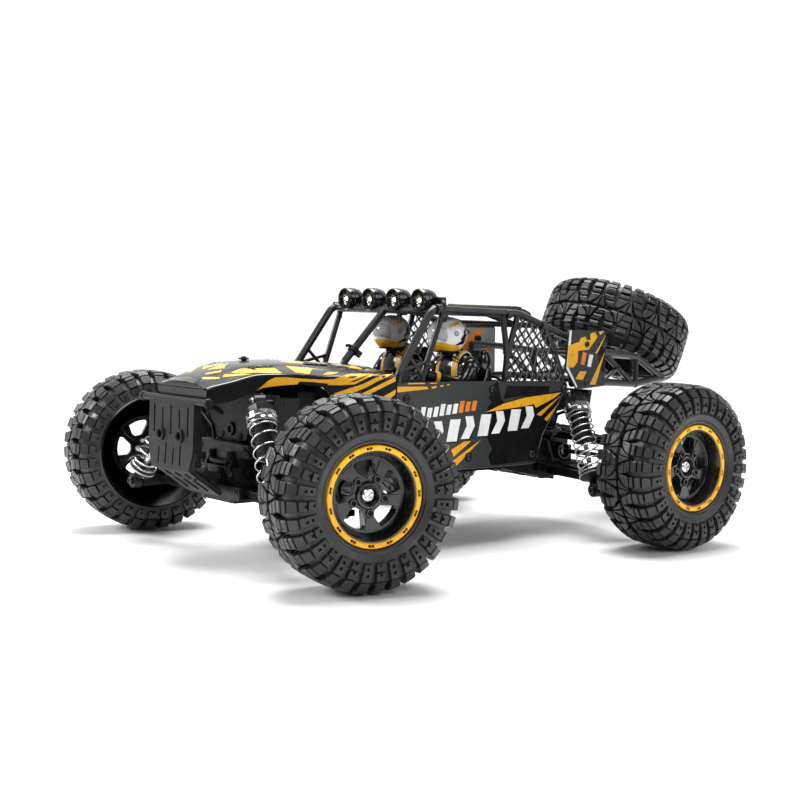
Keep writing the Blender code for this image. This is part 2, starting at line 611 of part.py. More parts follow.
def build_light_bar():
    lamps = []
    for x in LAMP_X:
        front, back = (x, LAMP_FRONT, LAMP_Z), (x, LAMP_BACK - 3, LAMP_Z)
        lamps.append(rod(front, back, LAMP_R, 16))
    bracket = block((-45.2, 101, 138.2), (45.2, 105, 141.5))
    pegs = []
    for x in (-22.9, 22.9):
        pegs.append(rod((x, 103, 133.4), (x, 103, 139), 1.6, 8))
    part("light_bar", "black_plastic", bracket, lamps + pegs)


def build_cockpit():
    tray = block((-43, 70, 78), (43, 186, 80))
    joins = []
    for side in (1, -1):
        joins.append(block((side * 13, 141, 79), (side * 41, 146, 110)))
        joins.append(block((side * 13, 110, 79), (side * 41, 142, 84)))
    joins.append(block((-38, 76, 79), (38, 80, 92)))
    part("cockpit_tray", "black_plastic", tray, joins)
    for name, x in (("driver_figure", 27.0), ("passenger_figure", -25.0)):
        chest = ball((x, 130, 98), (14, 9.5, 13))
        helmet = ball((x, 125, 119.0), (HELMET_R, HELMET_R + 1.5, HELMET_R))
        lap = block((x - 11, 100, 84.4), (x + 11, 136, 92))
        part(name, "figure", chest, [helmet, lap])
        smooth(chest, 50)


# ============================== cage ==============================================================
def build_roll_cage():
    """Two side frames on sill tubes, joined by cross tubes, with a lattice net behind each door."""
    tubes = []
    for side in (1, -1):
        def p(x, y, z):
            return (side * x, y, z)
        screen_foot, screen_top = p(46.8, 70.5, 96), p(RAIL_X, 97, 135.5)
        door_top, door_foot = p(RAIL_X, 101.3, 134.5), p(46.8, 87, 96)
        rail_bend, rail_end = p(RAIL_X, 158, 133.0), p(45.4, 201, 119.0)
        post_knee, post_foot = p(48.4, 149.5, 108.5), p(SILL_X, 149, SILL_Z)
        brace_top, brace_foot = p(47.0, 181, 125.3), p(47.4, 196, 95.5)
        tubes.append(pipe(TUBE_R, p(SILL_X, 72, SILL_Z), screen_foot, screen_top, rail_bend,
                          p(47.2, 178, 126.5), rail_end))
        tubes.append(pipe(THIN_TUBE_R, p(SILL_X, 89, SILL_Z - 0.4), door_foot, door_top))
        tubes.append(pipe(THIN_TUBE_R, p(RAIL_X, 146, 132), post_knee, post_foot))
        tubes.append(pipe(THIN_TUBE_R, rail_bend, p(48.2, 150.3, 110)))
        tubes.append(pipe(THIN_TUBE_R, brace_top, brace_foot, p(SILL_X, 193, SILL_Z)))
        tubes.append(pipe(THIN_TUBE_R, p(SILL_X, 71, SILL_Z), p(SILL_X, 195, SILL_Z)))
        front, rear = Vector(post_foot), Vector(brace_foot)
        head, tail = Vector(rail_bend), Vector(brace_top)
        knee = Vector(post_knee)
        for k in range(1, 4):
            share = k / 4
            low = front.lerp(rear, share)
            tubes.append(pipe(NET_R, knee.lerp(head, share), low + Vector((0, 0, 2 - 5 * share))))
            tubes.append(pipe(NET_R, head.lerp(tail, share), tail.lerp(rear, share)))
            tubes.append(pipe(NET_R, Vector(post_foot).lerp(knee, share), rear.lerp(tail, 1 - share / 2)))
    cross = [((RAIL_X, 98.5, 135.3), (43, 101, 130.8)), ((RAIL_X, 157, 133.0), (40, 157, 132.8))]
    for end, bend in cross:
        other_bend = (-bend[0], *bend[1:])
        other_end = (-end[0], *end[1:])
        tubes.append(pipe(TUBE_R, end, bend, other_bend, other_end))
    sill = (SILL_X, 72, SILL_Z)
    tubes.append(pipe(THIN_TUBE_R, sill, (-SILL_X, 72, SILL_Z)))
    tubes.append(pipe(TUBE_R, (0, 72, SILL_Z), (0, 69.5, 103), (0, 100.5, 130.8)))
    return tubes


def build_rear_cage():
    """Side frames behind the plates, cross tubes and the stud that the spare wheel sits on."""
    tubes = []
    lean = Vector((0, math.sin(SPARE_TILT), math.cos(SPARE_TILT)))
    for side in (1, -1):
        x = side * 45.6
        rear_top, rear_end = (x, 262, 107), (x, 286, 93)
        tubes.append(pipe(TUBE_R, (x, 205, 112), (x, 232, 110), rear_top, rear_end))
        tubes.append(pipe(TUBE_R, rear_end, (x, 262, 89.6), (x, 236, 91.2), (x, 205, 91.2)))
        tubes.append(pipe(THIN_TUBE_R, (x, 205, 92), (x, 205, 113)))
        tubes.append(pipe(THIN_TUBE_R, rear_top, (x, 262, 89.6)))
        tubes.append(pipe(THIN_TUBE_R, (x, 232, 110), (x, 258, 91)))
    for y, z in ((258, 107.2), (285, 93.4), (238, 91.2)):
        tubes.append(pipe(TUBE_R, (-45.6, y, z), (45.6, y, z)))
    tubes.append(pipe(TUBE_R, (0, 238, 91.2), (0, 258, 107.2), (0, 285, 93.4)))
    centre = Vector(SPARE_CENTRE)
    tubes.append(rod(centre - lean * 27.5, centre - lean * 9.2, 4.0))
    return tubes


def build_cage():
    cage = build_roll_cage()
    part("roll_cage", "black_plastic", cage[0], cage[1:])
    frame = build_rear_cage()
    part("rear_cage", "black_plastic", frame[0], frame[1:])
    lean = (0, math.sin(SPARE_TILT), math.cos(SPARE_TILT))
    build_wheel("spare_wheel", "spare_tyre", SPARE_CENTRE, lean, axle=False)


# ============================== assembly ==========================================================
for leftover in list(bpy.data.objects):
    bpy.data.objects.remove(leftover, do_unlink=True)
PARTS = new_collection("rc_buggy")
TOOLS = new_collection("rc_buggy_guides")

FRONT_TOWER = [(-16, 58), (16, 58), (19, 72), (40, 79.5), (42, 89.5), (-42, 89.5), (-40, 79.5),
               (-19, 72)]
REAR_TOWER = [(-16, 58), (16, 58), (19, 72), (47, 78), (48.5, 87), (-48.5, 87), (-47, 78),
              (-19, 72)]

build_chassis()
build_bumper()
build_bulkhead("front", 0.0, FRONT_TOWER, -6.5)
build_bulkhead("rear", WHEELBASE, REAR_TOWER, WHEELBASE - 3.5)
build_power()
build_steering()
for corner_end in ("front", "rear"):
    for corner_name, corner_side in (("left", 1), ("right", -1)):
        build_corner(corner_end, corner_name, corner_side)
build_hood()
build_panels()
build_light_bar()
build_cockpit()
build_cage()
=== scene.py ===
import math

import bmesh
import bpy
from mathutils import Matrix, Vector
from mathutils.geometry import delaunay_2d_cdt


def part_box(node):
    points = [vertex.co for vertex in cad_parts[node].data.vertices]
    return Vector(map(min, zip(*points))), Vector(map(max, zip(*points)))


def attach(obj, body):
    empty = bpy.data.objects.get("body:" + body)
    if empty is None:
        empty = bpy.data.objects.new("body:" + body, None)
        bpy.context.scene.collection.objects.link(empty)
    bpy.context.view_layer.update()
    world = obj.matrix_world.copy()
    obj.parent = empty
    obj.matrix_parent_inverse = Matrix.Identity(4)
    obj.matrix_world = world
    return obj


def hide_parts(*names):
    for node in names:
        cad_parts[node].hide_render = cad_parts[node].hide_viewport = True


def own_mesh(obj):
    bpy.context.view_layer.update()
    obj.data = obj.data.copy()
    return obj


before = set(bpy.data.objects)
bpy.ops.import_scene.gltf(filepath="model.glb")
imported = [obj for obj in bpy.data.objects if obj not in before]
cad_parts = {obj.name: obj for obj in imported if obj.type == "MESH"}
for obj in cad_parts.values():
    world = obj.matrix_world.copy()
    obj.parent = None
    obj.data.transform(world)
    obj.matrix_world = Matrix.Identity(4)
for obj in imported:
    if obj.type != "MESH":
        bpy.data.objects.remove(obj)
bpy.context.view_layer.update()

MM = 0.001
SHARP_DEG = 38              # steeper edges are shaded sharp, and softened where a bevel is asked for
TAU = 2 * math.pi
AXLE_Y = sum(corner.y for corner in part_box("front_hub_carrier_left")) / 2
TO_FRAME = Matrix.Translation((0, AXLE_Y, 0)) @ Matrix.Scale(MM, 4)
X, Y, Z = Vector((1, 0, 0)), Vector((0, 1, 0)), Vector((0, 0, 1))
SIDES = (("left", 1), ("right", -1))


def at(x, y, z):
    return TO_FRAME @ Vector((x, y, z))


# ============================== shape tools ======================================================
class Shape:
    """Closed shapes gathered into one mesh, in millimetres, each face with its own finish."""

    def __init__(self):
        self.points, self.faces, self.finish_of, self.finishes = [], [], [], []

    def add(self, points, faces, finish):
        base = len(self.points)
        self.points += [tuple(point) for point in points]
        for face in faces:
            self.faces.append([base + i for i in face])
            self.finish_of.append(self.finish_index(finish))

    def finish_index(self, finish):
        if finish not in self.finishes:
            self.finishes.append(finish)
        return self.finishes.index(finish)


def mesh_of(shape, name, place=TO_FRAME, sharp=SHARP_DEG):
    mesh = bpy.data.meshes.new(name)
    mesh.from_pydata(shape.points, [], shape.faces)
    mesh.transform(place)
    mesh.polygons.foreach_set("material_index", shape.finish_of)
    for finish in shape.finishes:
        mesh.materials.append(MATERIALS[finish])
    bm = bmesh.new()
    bm.from_mesh(mesh)
    bmesh.ops.recalc_face_normals(bm, faces=bm.faces)
    bm.to_mesh(mesh)
    bm.free()
    mesh.shade_smooth()
    mesh.set_sharp_from_angle(angle=math.radians(sharp))
    return mesh


def piece(name, mesh, body, replaces=(), bevel=0.0, matrix=None):
    """A visible piece on a CAD body, with softened edges where bevel, in millimetres, is given."""
    made = bpy.data.objects.new(name, mesh)
    bpy.context.scene.collection.objects.link(made)
    if matrix is not None:
        made.matrix_world = matrix
    if bevel:
        soft = made.modifiers.new("soft_edges", "BEVEL")
        soft.width = bevel * MM
        soft.segments = 2
        soft.limit_method = "ANGLE"
        soft.angle_limit = math.radians(SHARP_DEG)
    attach(made, body)
    if replaces:
        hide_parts(*replaces)
    return made


def across_of(w, hint=None):
    """Two unit vectors square to w; the first leans towards hint."""
    w = Vector(w).normalized()
    u = w.orthogonal() if hint is None else Vector(hint) - w * w.dot(Vector(hint))
    u.normalize()
    return u, w.cross(u), w


def loft(shape, rings, finish, caps=True, loop=False, pits=None, pit_finish=None):
    """Quads between rings of points. pits maps a cell (ring, column) to a vector that sinks it."""
    n = len(rings[0])
    points = [Vector(p) for ring in rings for p in ring]
    faces, sunk = [], []
    count = len(rings) if loop else len(rings) - 1
    for i in range(count):
        for j in range(n):
            a, b = i * n + j, i * n + (j + 1) % n
            d, c = (i + 1) % len(rings) * n + j, (i + 1) % len(rings) * n + (j + 1) % n
            if pits and (i, j) in pits:
                base = len(points)
                middle = (points[a] + points[b] + points[c] + points[d]) / 4
                for k in (a, b, c, d):
                    points.append(points[k].lerp(middle, 0.12) + pits[(i, j)])
                ring = (a, b, c, d)
                for k in range(4):
                    faces.append((ring[k], ring[(k + 1) % 4], base + (k + 1) % 4, base + k))
                sunk.append((base, base + 1, base + 2, base + 3))
            else:
                faces.append((a, b, c, d))
    if caps and not loop:
        faces.append(tuple(reversed(range(n))))
        faces.append(tuple(range((len(rings) - 1) * n, len(rings) * n)))
    base = len(shape.points)
    shape.add(points, faces, finish)
    for face in sunk:
        shape.faces.append([base + i for i in face])
        shape.finish_of.append(shape.finish_index(pit_finish or finish))


def rounded(points, bend, steps=5):
    """The polyline with each inner corner turned into a curve that starts bend before it."""
    path = [Vector(points[0])]
    for a, b, c in zip(points, points[1:], points[2:]):
        a, b, c = Vector(a), Vector(b), Vector(c)
        reach = min(bend, (a - b).length * 0.45, (c - b).length * 0.45)
        start, stop = b + (a - b).normalized() * reach, b + (c - b).normalized() * reach
        for k in range(steps + 1):
            t = k / steps
            path.append(start.lerp(b, t).lerp(b.lerp(stop, t), t))
    path.append(Vector(points[-1]))
    return path


def sweep(shape, path, radius, finish, sides, loop=False, flat=1.0, hint=None):
    """A tube along a path. radius may be a list; flat squeezes the section along its second axis."""
    path = [Vector(point) for point in path]
    last = len(path) - 1
    radii = radius if isinstance(radius, list) else [radius] * len(path)
    side, rings = None, []
    for i, point in enumerate(path):
        ahead = path[(i + 1) % len(path)] if loop else path[min(i + 1, last)]
        behind = path[i - 1] if loop else path[max(i - 1, 0)]
        along = (ahead - behind).normalized()
        side = across_of(along, side if side is not None else hint)[0]
        up = along.cross(side)
        rings.append([point + side * (radii[i] * math.cos(TAU * k / sides))
                      + up * (flat * radii[i] * math.sin(TAU * k / sides)) for k in range(sides)])
    if not loop:
        for end, inner in ((0, 1), (last, last - 1)):
            cap = [path[end] + (p - path[end]) * 0.72 for p in rings[end]]
            step = (path[inner] - path[end]).normalized() * min(radii[end] * 0.28, 0.5)
            rings[end] = [p + step for p in rings[end]]
            rings.insert(0 if end == 0 else len(rings), cap)
    loft(shape, rings, finish, loop=loop)


def tube(shape, points, radius, finish, bend=5.0, sides=14):
    sweep(shape, rounded(points, bend), radius, finish, sides)


def tubes(shape, finish, *runs):
    """Tubes of one finish, each as (points, radius) and, if not the usual, bend and sides."""
    for points, radius, *rest in runs:
        tube(shape, points, radius, finish, *rest)


def lathe(shape, profile, origin, axis, finish, steps, closed=False, turn=0.0):
    """(radius, height) pairs turned about an axis. A radius of zero is a pole."""
    u, v, w = across_of(axis)
    origin = Vector(origin)
    points, rows, faces = [], [], []
    for r, h in profile:
        sides = 1 if r < 1e-6 else steps
        rows.append([len(points) + k for k in range(sides)])
        for k in range(sides):
            a = turn + TAU * k / steps
            points.append(origin + w * h + u * (r * math.cos(a)) + v * (r * math.sin(a)))
    pairs = list(zip(rows, rows[1:])) + ([(rows[-1], rows[0])] if closed else [])
    for low, high in pairs:
        for k in range(steps):
            ring = (low[k % len(low)], low[(k + 1) % steps % len(low)],
                    high[(k + 1) % steps % len(high)], high[k % len(high)])
            face = list(dict.fromkeys(ring))
            if len(face) > 2:
                faces.append(face)
    if not closed:
        faces += [row for row in (rows[0][::-1], rows[-1]) if len(row) > 2]
    shape.add(points, faces, finish)


def rod(shape, start, end, radius, finish, steps=16, soft=0.25):
    start, end = Vector(start), Vector(end)
    reach = (end - start).length
    soft = min(soft, radius * 0.4, reach * 0.4)
    lathe(shape, [(0, 0), (radius - soft, 0), (radius, soft), (radius, reach - soft),
                  (radius - soft, reach), (0, reach)], start, end - start, finish, steps)


def ring(shape, centre, axis, outer, inner, low, high, finish, steps, soft=0.2):
    lathe(shape, [(inner, low), (outer - soft, low), (outer, low + soft), (outer, high - soft),
                  (outer - soft, high), (inner + soft, high), (inner, high - soft)],
          centre, axis, finish, steps, closed=True)


def ball(shape, centre, radii, finish, steps, rows):
    profile = [(math.sin(math.pi * k / rows), -math.cos(math.pi * k / rows)) for k in range(rows + 1)]
    part = Shape()
    lathe(part, [(r if r > 1e-4 else 0.0, h) for r, h in profile], (0, 0, 0), Z, finish, steps)
    moved = [Vector(centre) + Vector([c * r for c, r in zip(point, radii)]) for point in part.points]
    shape.add(moved, part.faces, finish)


def inside(point, outline):
    x, y = point
    hit = False
    for (x1, y1), (x2, y2) in zip(outline, outline[1:] + outline[:1]):
        if (y1 > y) != (y2 > y) and x < (x2 - x1) * (y - y1) / (y2 - y1) + x1:
            hit = not hit
    return hit


def filled(outline, holes, grid):
    """Triangles that fill an outline round its holes, with inner points every grid if given."""
    loops = [[tuple(p) for p in loop] for loop in (outline, *holes)]
    points, edges = [], []
    for loop in loops:
        base = len(points)
        points += [Vector(p) for p in loop]
        edges += [(base + k, base + (k + 1) % len(loop)) for k in range(len(loop))]
    if grid:
        xs, ys = [p[0] for p in outline], [p[1] for p in outline]
        rows = int((max(ys) - min(ys)) / grid) + 1
        columns = int((max(xs) - min(xs)) / grid) + 1
        for i in range(1, rows):
            for j in range(1, columns):
                spot = (min(xs) + j * grid, min(ys) + i * grid)
                if inside(spot, loops[0]) and not any(inside(spot, hole) for hole in loops[1:]):
                    points.append(Vector(spot))
    flat, _, triangles, *_ = delaunay_2d_cdt(points, edges, [], 0, 1e-6)
    kept = []
    for face in triangles:
        middle = sum((flat[i] for i in face), Vector((0, 0))) / len(face)
        if inside(middle, loops[0]) and not any(inside(middle, hole) for hole in loops[1:]):
            kept.append(tuple(face))
    return [tuple(p) for p in flat], kept


def wrap(shape, outline, place, thickness, finish, holes=(), grid=0.0):
    """A closed sheet over a surface: place(a, b) gives a point and the normal to thicken along."""
    flat, triangles = filled(outline, holes, grid)
    used = sorted({i for face in triangles for i in face})
    index = {old: new for new, old in enumerate(used)}
    under, over = [], []
    for i in used:
        point, normal = place(*flat[i])
        under.append(point)
        over.append(point + normal * thickness)
    n = len(used)
    faces, seen = [], {}
    for face in triangles:
        ids = [index[i] for i in face]
        faces.append([n + i for i in ids])
        faces.append(ids[::-1])
        for a, b in zip(ids, ids[1:] + ids[:1]):
            key = (min(a, b), max(a, b))
            seen[key] = None if key in seen else (a, b)
    for edge in seen.values():
        if edge:
            a, b = edge
            faces.append([a, b, n + b, n + a])
    shape.add(under + over, faces, finish)


def slab(shape, outline, origin, u, v, low, high, finish, holes=()):
    """A flat outline with holes, filled from low to high along u x v."""
    origin, u, v = Vector(origin), Vector(u).normalized(), Vector(v).normalized()
    w = u.cross(v).normalized()
    wrap(shape, outline, lambda a, b: (origin + u * a + v * b + w * low, w), high - low, finish, holes)


def block(shape, low, high, finish):
    low, high = Vector(low), Vector(high)
    size = high - low
    slab(shape, [(0, 0), (size.x, 0), (size.x, size.y), (0, size.y)], low, X, Y, 0, size.z, finish)


def side_slab(shape, outline, x1, x2, finish, holes=()):
    """A flat outline of (y, z) corners, filled between two places across the car."""
    slab(shape, outline, (0, 0, 0), Y, Z, *sorted((x1, x2)), finish, holes)


def spokes(count, u, v, turn=0.0):
    """Pairs of unit vectors, outwards and along the circle, evenly round from u towards v."""
    for k in range(count):
        c, s = math.cos(turn + TAU * k / count), math.sin(turn + TAU * k / count)
        yield u * c + v * s, v * c - u * s


def circle(x, y, r, n, start=0.0, stop=TAU):
    full = abs(stop - start - TAU) < 1e-6
    return [(x + r * math.cos(start + (stop - start) * k / (n if full else n - 1)),
             y + r * math.sin(start + (stop - start) * k / (n if full else n - 1))) for k in range(n)]


def slot_outline(a, b, half, n=6):
    """A long rounded slot between two points."""
    a, b = Vector(a), Vector(b)
    heading = math.atan2((b - a).y, (b - a).x)
    return (circle(b.x, b.y, half, n, heading - math.pi / 2, heading + math.pi / 2)
            + circle(a.x, a.y, half, n, heading + math.pi / 2, heading + 3 * math.pi / 2))


def screw(shape, place, normal, radius, rise, turn=0.4, finish="dark_steel"):
    """A button head with a cross recess: a dished head, and four quarters that leave the cross."""
    u, v, w = across_of(normal)
    place = Vector(place)
    lathe(shape, [(0, -0.5), (radius, -0.5), (radius, rise * 0.45), (radius * 0.86, rise * 0.85),
                  (radius * 0.64, rise), (radius * 0.6, rise * 0.3), (0, rise * 0.2)],
          place, w, finish, 18)
    gap, reach = radius * 0.13, radius * 0.66
    arc = circle(0, 0, reach, 4, 0.25, math.pi / 2 - 0.25)
    for p, q in spokes(4, u, v, turn):
        slab(shape, [(gap, gap), *arc], place, p, q, rise * 0.1, rise * 0.93, finish)


# ============================== finishes =========================================================
MATERIALS = {}


class Nodes:
    """Short names for the shader nodes used below, on one material."""

    def __init__(self, name):
        self.name = name
        self.material = bpy.data.materials.new("look_" + name)
        self.material.use_nodes = True
        self.tree = self.material.node_tree
        self.shader = self.tree.nodes["Principled BSDF"]
        self.place = self.tree.nodes.new("ShaderNodeTexCoord").outputs["Object"]

    def link(self, source, target):
        if hasattr(source, "links"):
            self.tree.links.new(source, target)
        else:
            target.default_value = source

    def noise(self, scale, detail, roughness=0.5, stretch=None):
        node = self.tree.nodes.new("ShaderNodeTexNoise")
        node.inputs["Scale"].default_value = scale
        node.inputs["Detail"].default_value = detail
        node.inputs["Roughness"].default_value = roughness
        self.link(self.stretched(stretch) if stretch else self.place, node.inputs["Vector"])
        return node.outputs["Fac"]

    def stretched(self, stretch):
        node = self.tree.nodes.new("ShaderNodeMapping")
        node.inputs["Scale"].default_value = stretch
        self.link(self.place, node.inputs["Vector"])
        return node.outputs["Vector"]

    def spans(self, value, low, high, start, stop):
        node = self.tree.nodes.new("ShaderNodeMapRange")
        for name, number in (("From Min", low), ("From Max", high), ("To Min", start), ("To Max", stop)):
            node.inputs[name].default_value = number
        self.link(value, node.inputs["Value"])
        return node.outputs["Result"]

    def mixed(self, share, first, second):
        node = self.tree.nodes.new("ShaderNodeMix")
        node.data_type = "RGBA"
        self.link(share, node.inputs[0])
        for source, socket in ((first, node.inputs[6]), (second, node.inputs[7])):
            self.link((*source, 1.0) if isinstance(source, tuple) else source, socket)
        return node.outputs[2]

    def bump(self, height, strength, depth, under=None):
        node = self.tree.nodes.new("ShaderNodeBump")
        node.inputs["Strength"].default_value = strength
        node.inputs["Distance"].default_value = depth
        self.link(height, node.inputs["Height"])
        if under is not None:
            self.link(under, node.inputs["Normal"])
        return node.outputs["Normal"]

    def set(self, **values):
        for name, value in values.items():
            self.link(value, self.shader.inputs[name.replace("_", " ")])

    def keep(self):
        MATERIALS[self.name] = self.material
        return self.material


def moulded(name, dark, light, rough, spread, strength=0.25, dirt=0.0, **extra):
    """Painted or moulded surface: cloudy colour, uneven gloss, fine grain, and dust if asked."""
    n = Nodes(name)
    cloud = n.spans(n.noise(45, 4.0, 0.6), 0.35, 0.68, 0.0, 1.0)
    colour = n.mixed(cloud, dark, light)
    if dirt:
        patch = n.spans(n.noise(150, 6.0, 0.7), 0.56, 0.74, 0.0, dirt)
        colour = n.mixed(patch, colour, (0.16, 0.15, 0.14))
    n.set(Base_Color=colour)
    n.set(Roughness=n.spans(n.noise(240, 5.0, 0.65), 0.3, 0.72, rough - spread, rough + spread))
    n.set(Normal=n.bump(n.noise(2600, 2.0), strength, 0.00012))
    n.set(**extra)
    return n.keep()


def brushed(name, dark, light, rough, spread=0.08, grain=900, strength=0.12):
    n = Nodes(name)
    n.set(Base_Color=n.mixed(n.spans(n.noise(120, 4.0), 0.35, 0.7, 0.0, 1.0), dark, light))
    n.set(Roughness=n.spans(n.noise(420, 4.0), 0.3, 0.7, rough - spread, rough + spread))
    n.set(Normal=n.bump(n.noise(grain, 3.0), strength, 0.00008))
    n.set(Metallic=1.0)
    return n.keep()


def rubber(name):
    """Tyre rubber: dull, finely pitted, with a grey bloom that lies in patches."""
    n = Nodes(name)
    bloom = n.spans(n.noise(70, 6.0, 0.65), 0.42, 0.7, 0.0, 1.0)
    colour = n.mixed(bloom, (0.015, 0.0153, 0.0165), (0.028, 0.0284, 0.03))
    speck = n.spans(n.noise(900, 3.0, 0.7), 0.66, 0.78, 0.0, 0.35)
    n.set(Base_Color=n.mixed(speck, colour, (0.06, 0.058, 0.055)))
    n.set(Roughness=n.spans(n.noise(300, 5.0), 0.3, 0.7, 0.3, 0.5))
    pits = n.bump(n.noise(3200, 2.0), 0.35, 0.00012)
    n.set(Normal=n.bump(n.noise(520, 4.0), 0.3, 0.00025, pits))
    n.set(Specular_IOR_Level=0.55)
    return n.keep()


def yellow_paint(name, pale, deep, low, high, rough=0.3):
    """Printed yellow that turns to orange downwards, with a fine dot screen in the print. On the rim, the
    deeper orange towards the wheel's bottom is painted shade.
    """
    n = Nodes(name)
    height = n.tree.nodes.new("ShaderNodeSeparateXYZ")
    n.link(n.place, height.inputs[0])
    # the deeper colour grows downwards; on the rim this is painted shade
    share = n.spans(height.outputs["Z"], low, high, 1.0, 0.0)
    colour = n.mixed(share, pale, deep)
    colour = n.mixed(n.spans(n.noise(260, 5.0, 0.6), 0.5, 0.8, 0.0, 0.3), colour, (0.55, 0.2, 0.01))
    n.set(Base_Color=colour)
    n.set(Roughness=n.spans(n.noise(200, 4.0), 0.3, 0.7, rough - 0.1, rough + 0.14))
    n.set(Normal=n.bump(n.noise(1800, 3.0), 0.12, 0.0001))
    n.set(Coat_Weight=0.35, Coat_Roughness=0.12)
    return n.keep()


def white_print(name):
    """White print with soft grey streaks, like a screened metal effect."""
    n = Nodes(name)
    streak = n.spans(n.noise(160, 4.0, 0.7, (1.0, 1.0, 0.25)), 0.5, 0.72, 0.0, 0.55)
    n.set(Base_Color=n.mixed(streak, (0.86, 0.86, 0.86), (0.5, 0.52, 0.55)))
    n.set(Roughness=n.spans(n.noise(240, 4.0), 0.3, 0.7, 0.2, 0.42))
    n.set(Normal=n.bump(n.noise(1500, 3.0), 0.1, 0.0001))
    n.set(Coat_Weight=0.3, Coat_Roughness=0.12)
    return n.keep()


moulded("satin_black", (0.005, 0.0051, 0.0056), (0.011, 0.0112, 0.012), 0.36, 0.1, dirt=0.03,
        Specular_IOR_Level=0.28)
moulded("cage_black", (0.008, 0.0082, 0.009), (0.018, 0.0185, 0.02), 0.34, 0.09, strength=0.3,
        dirt=0.04, Coat_Weight=0.12, Coat_Roughness=0.25)
moulded("bumper_grey", (0.005, 0.0053, 0.006), (0.01, 0.0104, 0.0115), 0.44, 0.1, strength=0.5, dirt=0.04,
        Specular_IOR_Level=0.3)
moulded("arm_black", (0.004, 0.0041, 0.0045), (0.009, 0.0092, 0.0098), 0.4, 0.12, dirt=0.03,
        Specular_IOR_Level=0.26)
moulded("gloss_black", (0.005, 0.0051, 0.0055), (0.01, 0.0102, 0.011), 0.2, 0.05, strength=0.06,
        Coat_Weight=0.7, Coat_Roughness=0.07)
moulded("print_black", (0.004, 0.004, 0.0045), (0.009, 0.009, 0.0095), 0.22, 0.08, strength=0.1,
        Coat_Weight=0.3, Coat_Roughness=0.1, Specular_IOR_Level=0.35)
moulded("print_grey", (0.036, 0.041, 0.041), (0.04, 0.045, 0.0445), 0.3, 0.025, strength=0.05,
        Coat_Weight=0.2, Coat_Roughness=0.12, Specular_IOR_Level=0.35)
moulded("hood_grey", (0.012, 0.015, 0.015), (0.016, 0.019, 0.019), 0.26, 0.03, strength=0.05,
        Coat_Weight=0.25, Coat_Roughness=0.1, Specular_IOR_Level=0.3)
moulded("print_pale", (0.2, 0.22, 0.2), (0.3, 0.32, 0.29), 0.35, 0.08, strength=0.1)
moulded("print_orange", (0.75, 0.2, 0.012), (0.85, 0.27, 0.02), 0.3, 0.08, strength=0.1,
        Coat_Weight=0.3, Coat_Roughness=0.15)
moulded("clear_edge", (0.16, 0.18, 0.18), (0.3, 0.32, 0.32), 0.3, 0.1, strength=0.1)
moulded("rim_black", (0.004, 0.0041, 0.0046), (0.008, 0.0082, 0.009), 0.24, 0.05, strength=0.08,
        Coat_Weight=0.6, Coat_Roughness=0.12)
moulded("dull_black", (0.004, 0.004, 0.0045), (0.009, 0.009, 0.0095), 0.7, 0.15, strength=0.5, dirt=0.03,
        Specular_IOR_Level=0.25)
moulded("suit_black", (0.004, 0.004, 0.0044), (0.008, 0.008, 0.0088), 0.17, 0.05, strength=0.08,
        Coat_Weight=0.6, Coat_Roughness=0.08)
moulded("helmet_silver", (0.74, 0.74, 0.75), (0.9, 0.9, 0.9), 0.26, 0.06, strength=0.05,
        Coat_Weight=0.5, Coat_Roughness=0.08)
moulded("helmet_gold", (0.34, 0.24, 0.1), (0.5, 0.4, 0.22), 0.22, 0.07, strength=0.08,
        Metallic=0.4, Coat_Weight=0.6, Coat_Roughness=0.08)
moulded("visor_tint", (0.42, 0.42, 0.43), (0.6, 0.6, 0.61), 0.14, 0.04, strength=0.04,
        Coat_Weight=0.8, Coat_Roughness=0.04)
moulded("battery_wrap", (0.012, 0.03, 0.11), (0.02, 0.05, 0.16), 0.3, 0.1, strength=0.2)
moulded("cable_red", (0.32, 0.012, 0.01), (0.45, 0.02, 0.015), 0.4, 0.1, strength=0.2)
moulded("lamp_warm", (0.85, 0.8, 0.5), (0.98, 0.95, 0.7), 0.3, 0.1, strength=0.1, Emission_Strength=2.5,
        Emission_Color=(1.0, 0.95, 0.6, 1.0))
rubber("tyre_rubber")
# painted shade: the rim is paler at the wheel's top and a deeper, darker orange at its bottom
yellow_paint("rim_yellow", (0.92, 0.52, 0.006), (0.82, 0.4, 0.004), -0.024, 0.024, 0.34)
yellow_paint("print_yellow", (0.86, 0.44, 0.016), (0.82, 0.36, 0.007), 0.045, 0.1)
white_print("print_white")
brushed("chrome", (0.55, 0.54, 0.53), (0.72, 0.71, 0.69), 0.2)
brushed("steel", (0.38, 0.38, 0.38), (0.55, 0.54, 0.53), 0.34, 0.05, 700, 0.05)
brushed("dark_steel", (0.05, 0.05, 0.053), (0.1, 0.1, 0.105), 0.34)
brushed("motor_can", (0.3, 0.3, 0.31), (0.46, 0.46, 0.47), 0.3)


# ============================== wheels and tyres ==================================================
# Built once about their own axle, which is local X pointing outwards, and used five times.
# across the tyre: half width and radius of the block tops, and of the carcass under them
TOP_LINE = [(0, 47.5), (13, 47.2), (17.3, 45.2), (20.3, 41.0), (21.2, 36.0), (20.6, 31.5)]
FOOT_LINE = [(0, 43.2), (12.4, 42.9), (15.2, 41.5), (17.6, 39.8), (18.2, 36.0), (18.9, 31.3)]
TYRE_R, LUGS, LUG_HALF, LUG_EDGE, PIT_DEEP = 47.5, 16, 2.98, 0.38, 1.3
PITCH = TAU * TYRE_R / LUGS
